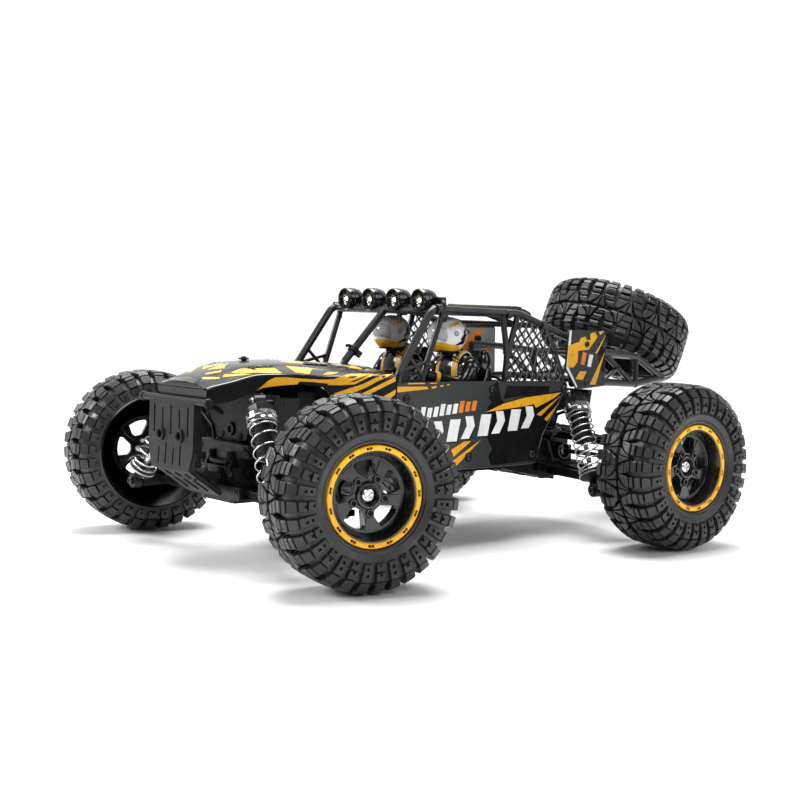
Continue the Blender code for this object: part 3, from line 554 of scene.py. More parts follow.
# each pitch has two rows of blocks: square ones by their stations across, then shaped ones
SQUARE_LUGS = (((1.91, 2.4, 2.94), (0.99, 1.35, 1.72), (0.68, 0.87)),
               ((2.02, 2.5, 3.02), (1.31, 1.6, 1.85), (0.76, 1.0, 1.18)))
SHAPED_LUGS = (([(0.62, -LUG_HALF, LUG_HALF), (0.4, 1.2 - LUG_HALF, LUG_HALF + 0.9),
                 (0.13, LUG_HALF - 1.4, LUG_HALF + 1.6)],),
               ([(0.69, -LUG_HALF - 0.2, LUG_HALF), (0.42, -LUG_HALF - 1.2, LUG_HALF - 1.3)],
                [(0.38, -LUG_HALF - 1.4, LUG_HALF - 1.6), (0.1, -LUG_HALF - 1.8, LUG_HALF - 3.4)],
                [(0.6, 3.6, 4.5), (0.4, 2.9, 4.6), (0.2, 2.0, 5.0), (0.06, 1.4, 5.3)],
                [(0.6, 4.9, 5.8), (0.4, 5.1, 6.8), (0.2, 5.6, 8.5), (0.06, 6.0, 9.9)]))


def along_line(line, p):
    i = min(int(p), len(line) - 2)
    return Vector(line[i]).lerp(Vector(line[i + 1]), p - i)


def lug(shape, stations, centre, side, dimples=()):
    """One tread block: stations are (place across, first edge, second edge), edges along the tread.
    dimples are the stations after which a square pit sits in the middle of the block's top."""
    edge, rings, pits = LUG_EDGE, [], {}
    stations = [(stations[0][0], *stations[0][1:], edge)] + [(*s, 0.0) for s in stations] + [
        (stations[-1][0], *stations[-1][1:], edge)]
    nudge = 0.05 if stations[-1][0] > stations[0][0] else -0.05
    last = len(stations) - 1
    for k, (p, low, high, drop) in enumerate(stations):
        if k in (1, last - 1):
            p += nudge if k == 1 else -nudge
        top, foot = along_line(TOP_LINE, p), along_line(FOOT_LINE, p)
        down = (foot - top).normalized()
        width = high - low
        section = [(low - 0.3, foot), (low, top + down * (edge + drop)),
                   (low + edge * (0.4 if drop else 1), top + down * drop)]
        if dimples:
            section += [(low + width * 0.33, top + down * drop), (high - width * 0.33, top + down * drop)]
        section += [(high - edge * (0.4 if drop else 1), top + down * drop),
                    (high, top + down * (edge + drop)), (high + 0.3, foot)]
        points = []
        for u, (x, r) in section:
            a = (centre + u) / TYRE_R
            points.append(Vector((side * x, r * math.sin(a), r * math.cos(a))))
        rings.append(points)
        if k - 1 in dimples:
            a = (centre + (low + high) / 2) / TYRE_R
            pits[(k, 3)] = Vector((side * down.x, down.y * math.sin(a), down.y * math.cos(a))) * PIT_DEEP
    loft(shape, rings, "tyre_rubber", pits=pits)


def square_lug(tyre, stations, u, side, dimples=()):
    lug(tyre, [(p, -LUG_HALF, LUG_HALF) for p in stations], u, side, dimples)


def build_tyre_mesh():
    tyre = Shape()
    skin = [(25.0, 16.4), (25.5, 17.5), (26.4, 17.9), (26.9, 18.6), (27.5, 18.4), (29.2, 19.1),
            (30.4, 19.7), (31.2, 19.4), (33, 19.0), (36.2, 18.9), (40.8, 17.9), (43.0, 15.2), (43.7, 12.4),
            (44.0, 0), (43.7, -12.4), (43.0, -15.2), (40.8, -17.9), (37, -18.9), (35.6, -20.0),
            (34.3, -20.3), (33.8, -19.4), (25.1, 14.6)]
    lathe(tyre, skin, (0, 0, 0), X, "tyre_rubber", 96, closed=True)
    for side in (1, -1):
        shown = side == 1           # the side that faces out has one more ring of blocks
        reach = 4.97 if shown else 4.15
        for row in range(2 * LUGS):
            kind = row % 2
            u = PITCH * (row / 2 + (0 if shown else 0.25))
            if kind == 0:
                cut = [3.08, 3.3, 3.62, 3.95, 4.28, 4.6 if shown else 4.1, reach]
                square_lug(tyre, [p for p in cut if p <= reach], u, side, (2, 4) if shown else (2,))
            else:
                square_lug(tyre, (3.16, 3.4, 3.75, 4.02), u, side, (2,))
                if shown:
                    square_lug(tyre, (4.16, 4.38, 4.72, reach), u, side, (2,))
            for stations in SQUARE_LUGS[kind]:
                square_lug(tyre, stations, u, side)
            for stations in SHAPED_LUGS[kind]:
                lug(tyre, stations, u, side)
    return mesh_of(tyre, "tyre", Matrix.Scale(MM, 4), 30)


def fan_window(start, stop, inner, outer):
    """A rounded window between two angles and two radii."""
    soft = 2.2
    outline = []
    corners = [(outer, start, stop), (inner, stop, start)]
    for r, a, b in corners:
        pull = soft / r
        sweep_from, sweep_to = (a + pull, b - pull) if b > a else (a - pull, b + pull)
        outline += circle(0, 0, r, 8, sweep_from, sweep_to)
        mid = (inner + outer) / 2
        shift = soft if r == outer else -soft
        outline.append(((r - shift * 0.3) * math.cos(b + (-0.3 if b > a else 0.3) * pull),
                        (r - shift * 0.3) * math.sin(b + (-0.3 if b > a else 0.3) * pull)))
        outline.append((((r - shift) * 0.7 + mid * 0.3) * math.cos(b),
                        ((r - shift) * 0.7 + mid * 0.3) * math.sin(b)))
    return outline


def build_wheel_mesh(axle=True):
    wheel = Shape()
    # beadlock ring with sunk slots
    steps, rings = 90, []
    profile = [(21.9, 15.2), (21.9, 17.3), (22.25, 17.75), (22.65, 17.85), (23.95, 17.85), (24.35, 17.75),
               (24.7, 17.3), (24.7, 15.2)]
    pits = {}
    for i in range(steps):
        a = TAU * i / steps
        rings.append([Vector((h, r * math.sin(a), r * math.cos(a))) for r, h in profile])
        if i % 6 in (0, 1):
            pits[(i, 3)] = Vector((-0.9, 0, 0))
    loft(wheel, rings, "rim_yellow", loop=True, pits=pits, pit_finish="dull_black")
    # dish, barrel and bead seats
    lathe(wheel, [(21.9, 16.9), (21.2, 16.9), (19.2, 12.4), (18.6, 9.9), (17.0, 9.6), (17.0, 3.2),
                  (19.8, 2.6), (22.4, 12.0), (24.9, 15.0), (25.0, 14.0), (33.2, -17.6), (33.8, -19.0),
                  (34.1, -20.0), (33.2, -20.4), (32.4, -19.8), (32.0, -18.0), (23.2, 12.6), (22.6, 15.2)],
          (0, 0, 0), X, "rim_black", 80, closed=True)
    for k in range(36):
        a = TAU * (k + 0.5) / 36
        place = Vector((14.7, 20.3 * math.sin(a), 20.3 * math.cos(a)))
        lathe(wheel, [(0.5, -0.3), (0.5, 0.12), (0.3, 0.32), (0, 0.38)], place,
              (0.45, -math.sin(a), -math.cos(a)), "rim_black", 8)
    # five broad spokes left by five fan windows
    half = math.radians(24.5)
    windows = [fan_window(TAU * (k + 0.5) / 5 - half, TAU * (k + 0.5) / 5 + half, 8.0, 17.0)
               for k in range(5)]
    hub_hole = circle(0, 0, 4.6, 24)
    slab(wheel, circle(0, 0, 18.2, 72), (0, 0, 0), Y, Z, 6.6, 9.9, "rim_black", [*windows, hub_hole])
    for spoke, wing in spokes(5, Y, Z):
        lathe(wheel, [(1.15, 9.4), (1.15, 10.7), (1.35, 10.9), (1.9, 10.9), (2.2, 10.5), (2.3, 9.4)],
              spoke * 8.7, X, "rim_black", 18, closed=True)
        rod(wheel, spoke * 8.7 + X * 9.2, spoke * 8.7 + X * 10.1, 1.2, "dull_black", 12)
        slab(wheel, [(10.8, -2.2), (17.0, -3.4), (17.4, 3.4), (10.8, 2.2)], (0, 0, 0), spoke, wing,
             9.7, 10.35, "rim_black")
        slab(wheel, [(6.0, -0.9), (20.5, -0.9), (20.5, 0.9), (6.0, 0.9)], (0, 0, 0), spoke, wing,
             -1.0, 6.8, "rim_black")
    lathe(wheel, [(4.9, 6.6), (4.9, 10.9), (5.4, 11.4), (6.4, 11.2), (6.9, 10.2), (7.0, 7.5)],
          (0, 0, 0), X, "rim_black", 32, closed=True)
    lathe(wheel, [(0, 7.2), (5.0, 7.2), (5.0, 5.6), (6.4, 5.2), (6.4, -7.9), (5.8, -8.5), (0, -8.5)],
          (0, 0, 0), X, "rim_black", 32)
    if axle:
        rod(wheel, (-22, 0, 0), (-8, 0, 0), 2.3, "steel", 16)
        slab(wheel, circle(0, 0, 4.3, 6), (0, 0, 0), Y, Z, 7.0, 8.6, "dark_steel")
        screw(wheel, (9.0, 0, 0), X, 3.5, 1.5, finish="chrome")
    else:
        lathe(wheel, [(0, 7.0), (4.2, 7.0), (4.2, 9.6), (3.6, 10.3), (0, 10.4)], (0, 0, 0), X,
              "rim_black", 24)
        screw(wheel, (10.4, 0, 0), X, 2.2, 0.9)
    return mesh_of(wheel, "wheel" if axle else "spare_rim", Matrix.Scale(MM, 4))


def turned(base, outward, turn=0.0):
    """A copy of a wheel mesh with its local X along outward, turned about its axle."""
    x = Vector(outward).normalized()
    y, z, _ = across_of(x, Z if abs(x.z) < 0.5 else Y)
    mesh = base.copy()
    mesh.transform(Matrix((x, y, z)).transposed().to_4x4() @ Matrix.Rotation(turn, 4, "X"))
    return mesh


def middle(node):
    low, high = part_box(node)
    return (low + high) / 2


STEER = math.radians(-12.5)
KINGPIN_X, STUB = 92.5, 20.5
SPARE_TILT, SPARE_CENTRE = math.radians(24), (0, 290, 121)


def build_wheels():
    tyre, rim, spare_rim = build_tyre_mesh(), build_wheel_mesh(), build_wheel_mesh(False)
    for end in ("front", "rear"):
        for name, side in SIDES:
            angle = STEER if end == "front" else 0.0
            axis = Vector((side * math.cos(angle), side * math.sin(angle), 0))
            centre = middle(f"{end}_tyre_{name}")
            if end == "front":
                centre = at(side * (KINGPIN_X + STUB * math.cos(angle)), side * STUB * math.sin(angle),
                            TYRE_R)
            place, turn = Matrix.Translation(centre), WHEEL_TURN[(end, name)]
            body = f"wheel_{end}_{name}"
            piece(f"{end}_wheel_{name}_rim", turned(rim, axis, turn), body,
                  [f"{end}_wheel_{name}"], 0.22, place)
            piece(f"{end}_tyre_{name}_tread", turned(tyre, axis, turn), body,
                  [f"{end}_tyre_{name}"], matrix=place)
    lean, place = (0, math.sin(SPARE_TILT), math.cos(SPARE_TILT)), Matrix.Translation(at(*SPARE_CENTRE))
    piece("spare_wheel_rim", turned(spare_rim, lean), "chassis", ["spare_wheel"], 0.22, place)
    piece("spare_tyre_tread", turned(tyre, lean), "chassis", ["spare_tyre"], matrix=place)


WHEEL_TURN = {("front", "left"): math.radians(-30), ("front", "right"): math.radians(20),
              ("rear", "left"): math.radians(30), ("rear", "right"): 0.0}
build_wheels()


# ============================== hood ===============================================================
# place behind the axle, half width, height of the side edge, of the crown, and of the skirt's foot
HOOD_LINE = [(-37, 25.0, 93.2, 95.4, 86.2), (-34, 25.8, 94.2, 97.0, 85.2), (-23, 28.6, 96.8, 100.6, 87.0),
             (-14, 31.0, 99.4, 102.9, 90.8), (-8, 32.6, 100.3, 104.0, 93.1), (8, 36.5, 100.2, 105.1, 94.7),
             (23, 40.4, 99.4, 105.0, 93.5), (30, 42.3, 99.2, 104.6, 88.2), (42, 45.5, 99.3, 103.9, 84.0),
             (54, 48.4, 99.4, 103.2, 79.6), (66.5, 50.3, 99.4, 102.6, 76.4)]
HOOD_WALL = 1.2
CROWN_STEPS, ROLL_STEPS = 18, 6        # points across the crown, and round the edge and down the skirt


def hood_row(y):
    """Half width, edge, crown and skirt heights at y, on a smooth curve through HOOD_LINE."""
    y = min(max(y, HOOD_LINE[0][0]), HOOD_LINE[-1][0])
    i = max(k for k in range(len(HOOD_LINE) - 1) if HOOD_LINE[k][0] <= y or k == 0)
    a, b = HOOD_LINE[i], HOOD_LINE[i + 1]
    before, after = HOOD_LINE[max(i - 1, 0)], HOOD_LINE[min(i + 2, len(HOOD_LINE) - 1)]
    t, width = (y - a[0]) / (b[0] - a[0]), b[0] - a[0]
    found = []
    for k in range(1, 5):
        start = (b[k] - before[k]) / (b[0] - before[0]) * width
        stop = (after[k] - a[k]) / (after[0] - a[0]) * width
        found.append((2 * t ** 3 - 3 * t * t + 1) * a[k] + (t ** 3 - 2 * t * t + t) * start
                     + (3 * t * t - 2 * t ** 3) * b[k] + (t ** 3 - t * t) * stop)
    return found


def hood_half(y):
    """The section from the crown line to the skirt's foot, as (x, z), with arc lengths."""
    half, edge, crown, skirt = hood_row(y)
    bulge = half * 0.58
    line = []
    for k in range(CROWN_STEPS + 1):
        x = (half - 1.5) * k / CROWN_STEPS
        share = x / half
        z = edge + (crown - edge) * (1 - share ** 2.6)
        z += 0.7 / (1 + math.exp((x - bulge) / 0.7)) - 0.35 * share
        line.append((x, z))
    last = Vector(line[-1])
    corner, below = Vector((half + 0.02, edge + 0.1)), Vector((half + 0.06, edge - 1.6))
    for k in range(1, ROLL_STEPS + 1):
        t = k / ROLL_STEPS
        line.append(tuple(last.lerp(corner, t).lerp(corner.lerp(below, t), t)))
    for k in range(1, ROLL_STEPS + 1):
        line.append((below.x + 0.5 * k / ROLL_STEPS, below.y + (skirt - below.y) * k / ROLL_STEPS))
    lengths = [0.0]
    for (x1, z1), (x2, z2) in zip(line, line[1:]):
        lengths.append(lengths[-1] + math.hypot(x2 - x1, z2 - z1))
    return line, lengths


HOOD_ROWS = {}


def hood_at(s, y):
    """The point on the hood s along its section from the crown line, s positive to the left."""
    key = round(y, 2)
    if key not in HOOD_ROWS:
        HOOD_ROWS[key] = hood_half(key)
    line, lengths = HOOD_ROWS[key]
    reach = min(abs(s), lengths[-1])
    i = min(next((k for k, d in enumerate(lengths) if d >= reach), len(lengths) - 1), len(lengths) - 1)
    i = max(i, 1)
    t = (reach - lengths[i - 1]) / max(lengths[i] - lengths[i - 1], 1e-9)
    x = line[i - 1][0] + (line[i][0] - line[i - 1][0]) * t
    z = line[i - 1][1] + (line[i][1] - line[i - 1][1]) * t
    return Vector((math.copysign(x, s), y, z))


def hood_surface(s, y, lift=0.0):
    """Point and outward normal of the hood at (s, y)."""
    step = 0.3
    low, high = (min(max(y + d, HOOD_LINE[0][0] + 0.1), HOOD_LINE[-1][0] - 0.1) for d in (-step, step))
    across = hood_at(s + step, y) - hood_at(s - step, y)
    along = hood_at(s, high) - hood_at(s, low)
    normal = across.cross(along).normalized()
    return hood_at(s, y) + normal * lift, normal


def fine(outline, most):
    """The outline with its long sides split."""
    points = []
    for a, b in zip(outline, outline[1:] + outline[:1]):
        a, b = Vector(a), Vector(b)
        parts = max(1, math.ceil((b - a).length / most))
        points += [tuple(a.lerp(b, k / parts)) for k in range(parts)]
    return points


def hood_print(shape, outline, finish, layer):
    """A printed shape on the hood, its corners given as (along the section, y)."""
    def place(s, y):
        hood_at(s, y)
        edge = HOOD_ROWS[round(y, 2)][1][CROWN_STEPS + ROLL_STEPS // 2]
        ease = 0.16 * math.exp(-((abs(s) - edge) / 1.3) ** 2)
        return hood_surface(s, y, 0.04 * layer - 0.03 + ease)
    wrap(shape, fine(outline, 2), place, 0.05, finish, grid=1.8)


def build_hood():
    hood = Shape()
    rings = []
    ys = [-37 + 103.5 * k / 46 for k in range(47)]
    for y in ys:
        _, lengths = hood_half(round(y, 2))
        outer = [-d for d in lengths[::-1]] + lengths[1:]
        over = [hood_surface(s, y)[0] for s in outer]
        under = [hood_surface(s * 0.985, y, -HOOD_WALL)[0] for s in outer]
        under[0].z, under[-1].z = over[0].z, over[-1].z
        rings.append(over + under[::-1])
    loft(hood, rings, "gloss_black")
    # nose: a closed front with a rolled lip, and the ledge behind it
    front = [(-24.6, 86.6), (24.6, 86.6), (24.8, 91.8), (23.4, 93.4), (12, 95.0), (-12, 95.0),
             (-23.4, 93.4), (-24.8, 91.8)]
    slab(hood, front, (0, -36.9, 0), X, Z, -1.4, 0.3, "gloss_black")
    tube(hood, [(-25.0, -36.4, 86.8), (25.0, -36.4, 86.8)], 1.0, "gloss_black", 1)
    tube(hood, [(-24.2, -37.4, 92.8), (24.2, -37.4, 92.8)], 0.55, "gloss_black", 1, 10)
    # two shallow scoops with their dark mouths, and the body clips
    for side in (1, -1):
        for y, z_lift in ((-2.0, 0.2), (33.0, 0.25)):
            place, normal = hood_surface(side * 21.5, y, z_lift)
            u, v, _ = across_of(normal, (side * 0.25, 1, 0))
            outline = slot_outline((-5.5, 0), (5.5, 0), 1.7)
            slab(hood, outline, place, u, v, -0.6, 0.15, "dull_black")
            for k in range(3):
                spot = place + u * (-3.6 + 3.6 * k)
                slab(hood, slot_outline((0, -1.4), (0.6, 1.4), 0.35, 4), spot, u, v, 0.0, 0.55,
                     "gloss_black")
        place, normal = hood_surface(side * 30.5, 59, 0.2)
        screw(hood, place, normal, 1.5, 0.8)
    place, normal = hood_surface(-3, 3, 0)
    rod(hood, place - normal, place + normal * 2.4, 1.5, "satin_black")
    ring(hood, place + normal * 1.2, Z, 2.9, 1.6, -0.5, 0.4, "dull_black", 20)
    return hood


# Printed shapes of the left half by finish and layer, each corner as (distance along the section, y);
# the right half mirrors them.
HOOD_PRINTS = [
    ("hood_grey", 1, [
        [(0, -33), (22, -35.5), (27.5, -22), (30.4, -9), (35, 2.3), (38.6, 14), (41.6, 28), (40, 43),
         (30, 52), (0, 58)]]),
    ("print_black", 2, [
        [(0, -20), (5, -24), (17.6, -18.9), (24, -25), (15, -34), (0, -30)],
        [(22, 5.8), (34.2, 4.6), (34.4, 10.2), (22.9, 11.4)],
        [(30.9, 24.6), (38.6, 17.6), (38.2, 24), (32.9, 31)],
        [(0, 36), (12, 30), (24, 42), (38, 47), (43.6, 56), (44, 65.9), (0, 65.9)]]),
    ("print_yellow", 3, [
        [(2.4, -23.5), (10.4, -17.6), (5.6, -14.2), (2.2, -9.2), (0.6, -14)],
        [(9.6, -28.5), (14.5, -22.6), (12.6, -20.4), (7.4, -27.5)],
        [(13.6, -33.4), (20.6, -27.2), (19.3, -25.4), (11.9, -31.8)],
        [(18.2, -22.3), (24.4, -15.8), (29.8, -12.6), (20.1, -24.9)],
        [(18.8, -19.1), (26, -13.9), (30.3, -7.3), (33.2, -2.4), (34.6, 3.2), (22, 4.4), (18.8, -1.2),
         (19.2, -7.1), (24.9, -6.1), (25.4, -8.4), (21.3, -8.8), (18.5, -12.6)],
        [(23.2, 12.6), (34.6, 11.4), (38, 18), (30.3, 25), (33.2, 32.4), (27.4, 24)],
        [(36.4, 31.8), (39.6, 25.4), (40.6, 31.6), (38.6, 37)],
        [(6, 22), (14, 15), (19, 22), (22, 36), (15, 30), (11, 33)],
        [(0.6, 38), (9.6, 42), (5.6, 47), (12.4, 53), (0.6, 50)],
        [(16, 47), (29, 52), (37, 62), (26, 57)],
        [(39.9, -12.1), (38.7, -9.2), (36.6, -4.7), (36.0, -1.6), (37.4, 4.4), (39.6, 11), (42.9, 23.3),
         (44.4, 30.5), (43.8, 36), (42.2, 43), (43.3, 49), (44.9, 55.4), (46.2, 52), (47.5, 46),
         (48.2, 39.6), (47, 30.4), (43.3, 19), (41.4, 11.6), (42.6, 10), (41.3, 2.4)],
        [(46.6, 26.8), (48.6, 34), (50.2, 42), (48, 52), (46.2, 60), (45.6, 58.6), (46.9, 51), (48.9, 42),
         (47.3, 34.6), (45.4, 27.4)],
        [(51.9, 30.6), (54.7, 31.2), (55.2, 34.4), (53.6, 48), (50.5, 59.7), (49, 65.9), (47, 65.9),
         (48.6, 58.8), (51.2, 46.1)],
        [(56.6, 44.2), (57.8, 50), (55.7, 57.7), (53.4, 65.9), (51, 65.9), (54.3, 54)],
        [(61, 57.1), (58.3, 64.9), (57.8, 65.9), (60.4, 65.9), (62.6, 61.7)]]),
]


def build_hood_prints():
    prints = Shape()
    for finish, layer, outlines in HOOD_PRINTS:
        for outline in outlines:
            for side in (1, -1):
                hood_print(prints, [(side * s, y) for s, y in outline], finish, layer)
    return prints


# ============================== side panels, plates and roof =====================================
PANEL_IN, PANEL_OUT = 49.2, 50.7


def flat_print(shape, outline, side, finish, layer):
    """A printed shape on a flat panel, its corners given as (y, z)."""
    side_slab(shape, outline, side * (PANEL_OUT - 0.05), side * (PANEL_OUT + (0.03 + 0.05 * layer)), finish)


def printed_sheet(shape, outline, side, prints):
    """The grey sheet of a panel or plate, with its printed shapes."""
    side_slab(shape, corners_cut(outline, 1.6), side * PANEL_IN, side * PANEL_OUT, "print_grey")
    for finish, layer, outlines in prints:
        for printed in outlines:
            flat_print(shape, printed, side, finish, layer)


def corners_cut(outline, reach):
    """The outline with each corner rounded off, starting reach before it."""
    points = []
    n, steps = len(outline), 3
    for k in range(n):
        a, b, c = Vector(outline[k - 1]), Vector(outline[k]), Vector(outline[(k + 1) % n])
        cut = min(reach, (a - b).length * 0.4, (c - b).length * 0.4)
        start, stop = b + (a - b).normalized() * cut, b + (c - b).normalized() * cut
        for i in range(steps + 1):
            t = i / steps
            points.append(tuple(start.lerp(b, t).lerp(b.lerp(stop, t), t)))
    return points


def bar(y, low, high, width, slant):
    return [(y, low), (y + width, low), (y + width + slant, high), (y + slant, high)]


PANEL_OUTLINE = [(66.8, 95.2), (140.1, 94.3), (195.4, 93.2), (197.2, 90.6), (191.8, 83.6), (177.0, 61.6),
                 (174.3, 53.7), (172.8, 46.8), (163, 45.7), (105, 45.7), (78, 58), (66.8, 76)]
PANEL_PRINTS = [
    ("print_black", 1, [
        [(139.5, 94.1), (135.3, 90.4), (136.6, 88.1), (133.8, 84.8), (136.6, 82.3), (132.9, 79.2),
         (134.4, 70.6), (133.0, 62.3), (137.4, 55.6), (134.6, 51.5), (136.6, 46.1), (172.2, 46.9),
         (176.4, 61.8), (196.4, 90.6), (194.8, 92.9)]]),
    ("print_grey", 2, [
        [(141, 93.8), (143.4, 84), (146.4, 81.8), (163, 85.2), (191, 87.2), (194, 92.7)]]),
    ("print_black", 3, [
        [(145.3, 83.9), (147.8, 91.4), (182.3, 90.4), (181.2, 86.6), (163, 85.4)]]),
    ("print_yellow", 3, [
        [(66.9, 93.0), (87.8, 92.5), (89.1, 91.2), (66.9, 89.8)],
        [(90.9, 92.4), (94.9, 92.8), (94.2, 91.5), (91.6, 91.2)],
        [(97.2, 92.9), (100, 93.2), (99.4, 92.2), (97.8, 92)],
        [(102.3, 93.4), (104.2, 93.6), (103.8, 92.9), (102.6, 92.7)],
        [(74.4, 94.8), (86.3, 94.6), (86.3, 94.0), (74.4, 94.1)],
        [(90, 94.5), (95, 94.5), (95, 94.0), (90, 94.0)],
        [(131.9, 76.8), (145.4, 81.2), (163, 84.3), (191.7, 86.4), (186, 83.2), (171.2, 77.9),
         (169.4, 80.2), (162.1, 79.2)],
        [(171.9, 73.9), (191.4, 84.4), (175.3, 72.9)],
        [(178.3, 71), (190, 79.9), (180.8, 69.6)],
        [(102.1, 52.7), (107.6, 57.1), (115.9, 60.7), (121.2, 60.8), (104.7, 50.2)],
        [(105.8, 49.3), (128.4, 61.1), (108.7, 45.9)],
        [(66.9, 86.6), (70.4, 84.4), (66.9, 84.2)]]),
]
SCREW_SPOTS = [(136.4, 89.5), (194.0, 88.6), (119.3, 51.7), (168.7, 50.9), (73.5, 86.0)]


def hash_marks(panel, side):
    """Plain slanted bars and chevrons where the panel carries its lettering."""
    slope = 0.087               # how much both rows climb towards the back
    for k in range(9):
        y = 83 + 4.7 * k
        low = 74.6 + (y - 82) * slope
        tall = 5.6 if k % 3 else 6.6
        finish = "print_white" if k < 6 else "print_orange"
        flat_print(panel, bar(y, low, low + tall, 3.2, 1.3), side, finish, 3)
    for k in range(7):
        y = 91 + 11.6 * k
        low = 60.6 + (y - 96) * slope
        if k % 2:
            shape = bar(y, low, low + 12.4, 7.6, 2.8)
        else:
            shape = [(y - 1, low), (y + 5.2, low), (y + 9.4, low + 7.2), (y + 8.0, low + 12.8),
                     (y + 2.2, low + 12.8), (y + 3.4, low + 7.2)]
        edge = [(a + (0.7 if b < low + 6 else -0.2) + 0.2, b - 0.8) for a, b in shape]
        flat_print(panel, edge, side, "print_black", 2)
        flat_print(panel, shape, side, "print_white", 3)


def build_side_panel(side):
    panel = Shape()
    printed_sheet(panel, PANEL_OUTLINE, side, PANEL_PRINTS)
    hash_marks(panel, side)
    x = side * PANEL_OUT
    for k, (y, z) in enumerate(SCREW_SPOTS):
        ring(panel, (x, y, z), (side, 0, 0), 2.7, 1.9, 0.05, 0.3, "print_black", 20, 0.08)
        screw(panel, (x + side * 0.3, y, z), (side, 0, 0), 1.9, 1.0, 0.3 + k)
    middle_x = side * (PANEL_IN + PANEL_OUT) / 2
    sweep(panel, [(middle_x, y, z) for y, z in PANEL_OUTLINE[3:7]], 0.72, "clear_edge", 8)
    lip = [(middle_x - side * 0.3, y, z) for y, z in ((172.6, 46.2), (163, 45.6), (105, 45.6))]
    tube(panel, lip, 0.95, "gloss_black", 2, 10)
    inner = [(78, 60), (105, 48), (168, 48), (172, 60), (186, 84), (186, 88), (75, 88)]
    side_slab(panel, inner, side * (PANEL_IN - 0.15), side * PANEL_IN, "satin_black")
    return panel


PLATE_OUTLINE = [(197.6, 123.6), (228.9, 122.9), (229.2, 89.8), (205, 88.2), (195.4, 100.4)]
PLATE_PRINTS = [
    ("print_white", 1, [
        [(197.8, 123.2), (199.6, 123.2), (197.4, 101.4), (205.4, 89.6), (204.8, 88.6), (195.7, 100.5)]]),
    ("print_yellow", 2, [
        [(197.0, 114.2), (206.1, 116.4), (206.9, 118.6), (211.1, 119.6), (213, 117.3), (215.8, 117.6),
         (215.2, 121.2), (219.4, 122.3), (221.6, 119.2), (214.2, 111.6), (205.3, 111.1), (205.1, 104.6),
         (201.6, 101.1), (196.4, 101.2)],
        [(222.7, 122.6), (227.2, 122.8), (224.1, 120.4)],
        [(219.9, 109.4), (228.6, 120.2), (221.8, 109.3)],
        [(215.9, 90.5), (228.5, 110.3), (221.1, 90.3)],
        [(203.7, 94.1), (207.2, 98.7), (213.2, 98.6), (209.7, 93.4)]]),
    ("print_orange", 3, [
        [(207.6, 102.8), (210.8, 102.4), (212.8, 109.6), (209.4, 110.4)]]),
    ("print_white", 3, [
        [(213.4, 101.6), (216.4, 101), (218.4, 108.2), (215.2, 109)]]),
    ("print_black", 1, [
        [(222, 116), (228.6, 112), (228.6, 97), (224, 100)]]),
]


def build_number_plate(side):
    plate = Shape()
    printed_sheet(plate, PLATE_OUTLINE, side, PLATE_PRINTS)
    inner = [(198.6, 122.4), (228.0, 122.0), (228.2, 91), (205.6, 89.4), (196.6, 100.6)]
    side_slab(plate, inner, side * (PANEL_IN - 0.2), side * PANEL_IN, "print_pale")
    for outline in ([(199, 104), (204, 108), (219, 121), (212, 121), (198.4, 110)],
                    [(207, 92), (226, 108), (226, 113), (204, 95)]):
        side_slab(plate, outline, side * (PANEL_IN - 0.3), side * (PANEL_IN - 0.1), "print_orange")
    for k, (y, z) in enumerate(((212.6, 115.0), (213.0, 91.9))):
        screw(plate, (side * (PANEL_OUT + 0.1), y, z), (side, 0, 0), 1.8, 1.0, k)
        rod(plate, (side * 46.6, y, z), (side * PANEL_IN, y, z), 2.2, "satin_black")
    middle_x = side * (PANEL_IN + PANEL_OUT) / 2
    tube(plate, [(middle_x, 205, 88.5), (middle_x, 229, 90.1)], 0.95, "print_black", 1, 10)
    return plate


def build_roof():
    """Crowned roof sheet with a step along its rear edge and printed rays."""
    roof = Shape()

    def surface(x, y, lift=0.0):
        share = (y - 111) / 60
        z = 138.4 - 1.0 * share - 1.5 * (x / 42) ** 4
        if y > 165:
            z -= (y - 165) ** 2 * 0.034
        return Vector((x, y, z + lift)), Z

    outline = corners_cut([(-42, 111), (42, 111), (42, 175), (36, 177), (-36, 177), (-42, 175)], 3)
    wrap(roof, fine(outline, 4), lambda x, y: surface(x, y, -1.2), 1.2, "print_grey", grid=5)
    for side in (1, -1):
        for finish, shape in (("print_black",
                               [(2, 113), (30, 113), (18, 135), (24, 140), (8, 165), (2, 160)]),
                              ("print_yellow", [(32, 114), (40.5, 114), (27, 136), (35, 138), (14, 168),
                                                (22, 143), (15, 141)]),
                              ("print_yellow", [(38, 140), (41, 139), (33, 163), (24, 172), (30, 155)]),
                              ("print_yellow", [(3, 116), (12, 116), (6, 128), (3, 126)])):
            outline = [(side * x, y) for x, y in shape]
            wrap(roof, fine(outline, 4), lambda x, y: surface(x, y, 0.02), 0.06, finish, grid=5)
        for y in (117, 160):
            place, _ = surface(side * 37, y)
            screw(roof, place, Z, 1.6, 0.8, y)
        rail = [surface(side * 39.4, 112 + 4 * k, 0.1)[0] for k in range(15)]
        sweep(roof, rail, 0.8, "gloss_black", 8)
    return roof


def build_body():
    piece("hood_shell_detailed", mesh_of(build_hood(), "hood", sharp=32), "chassis",
          ["hood_shell"])
    piece("hood_prints", mesh_of(build_hood_prints(), "hood_prints"), "chassis")
    for name, side in SIDES:
        piece(f"side_panel_{name}_detailed", mesh_of(build_side_panel(side), "panel"), "chassis",
              [f"side_panel_{name}"])
        piece(f"number_plate_{name}_detailed", mesh_of(build_number_plate(side), "plate"), "chassis",
              [f"number_plate_{name}"])
    piece("roof_panel_detailed", mesh_of(build_roof(), "roof"), "chassis", ["roof_panel"])


build_body()


# ============================== cage ===============================================================
TUBE_R, THIN_R = 2.2, 1.75
RAIL_X, SILL_X, SILL_Z = 47.8, 46.4, 90.0


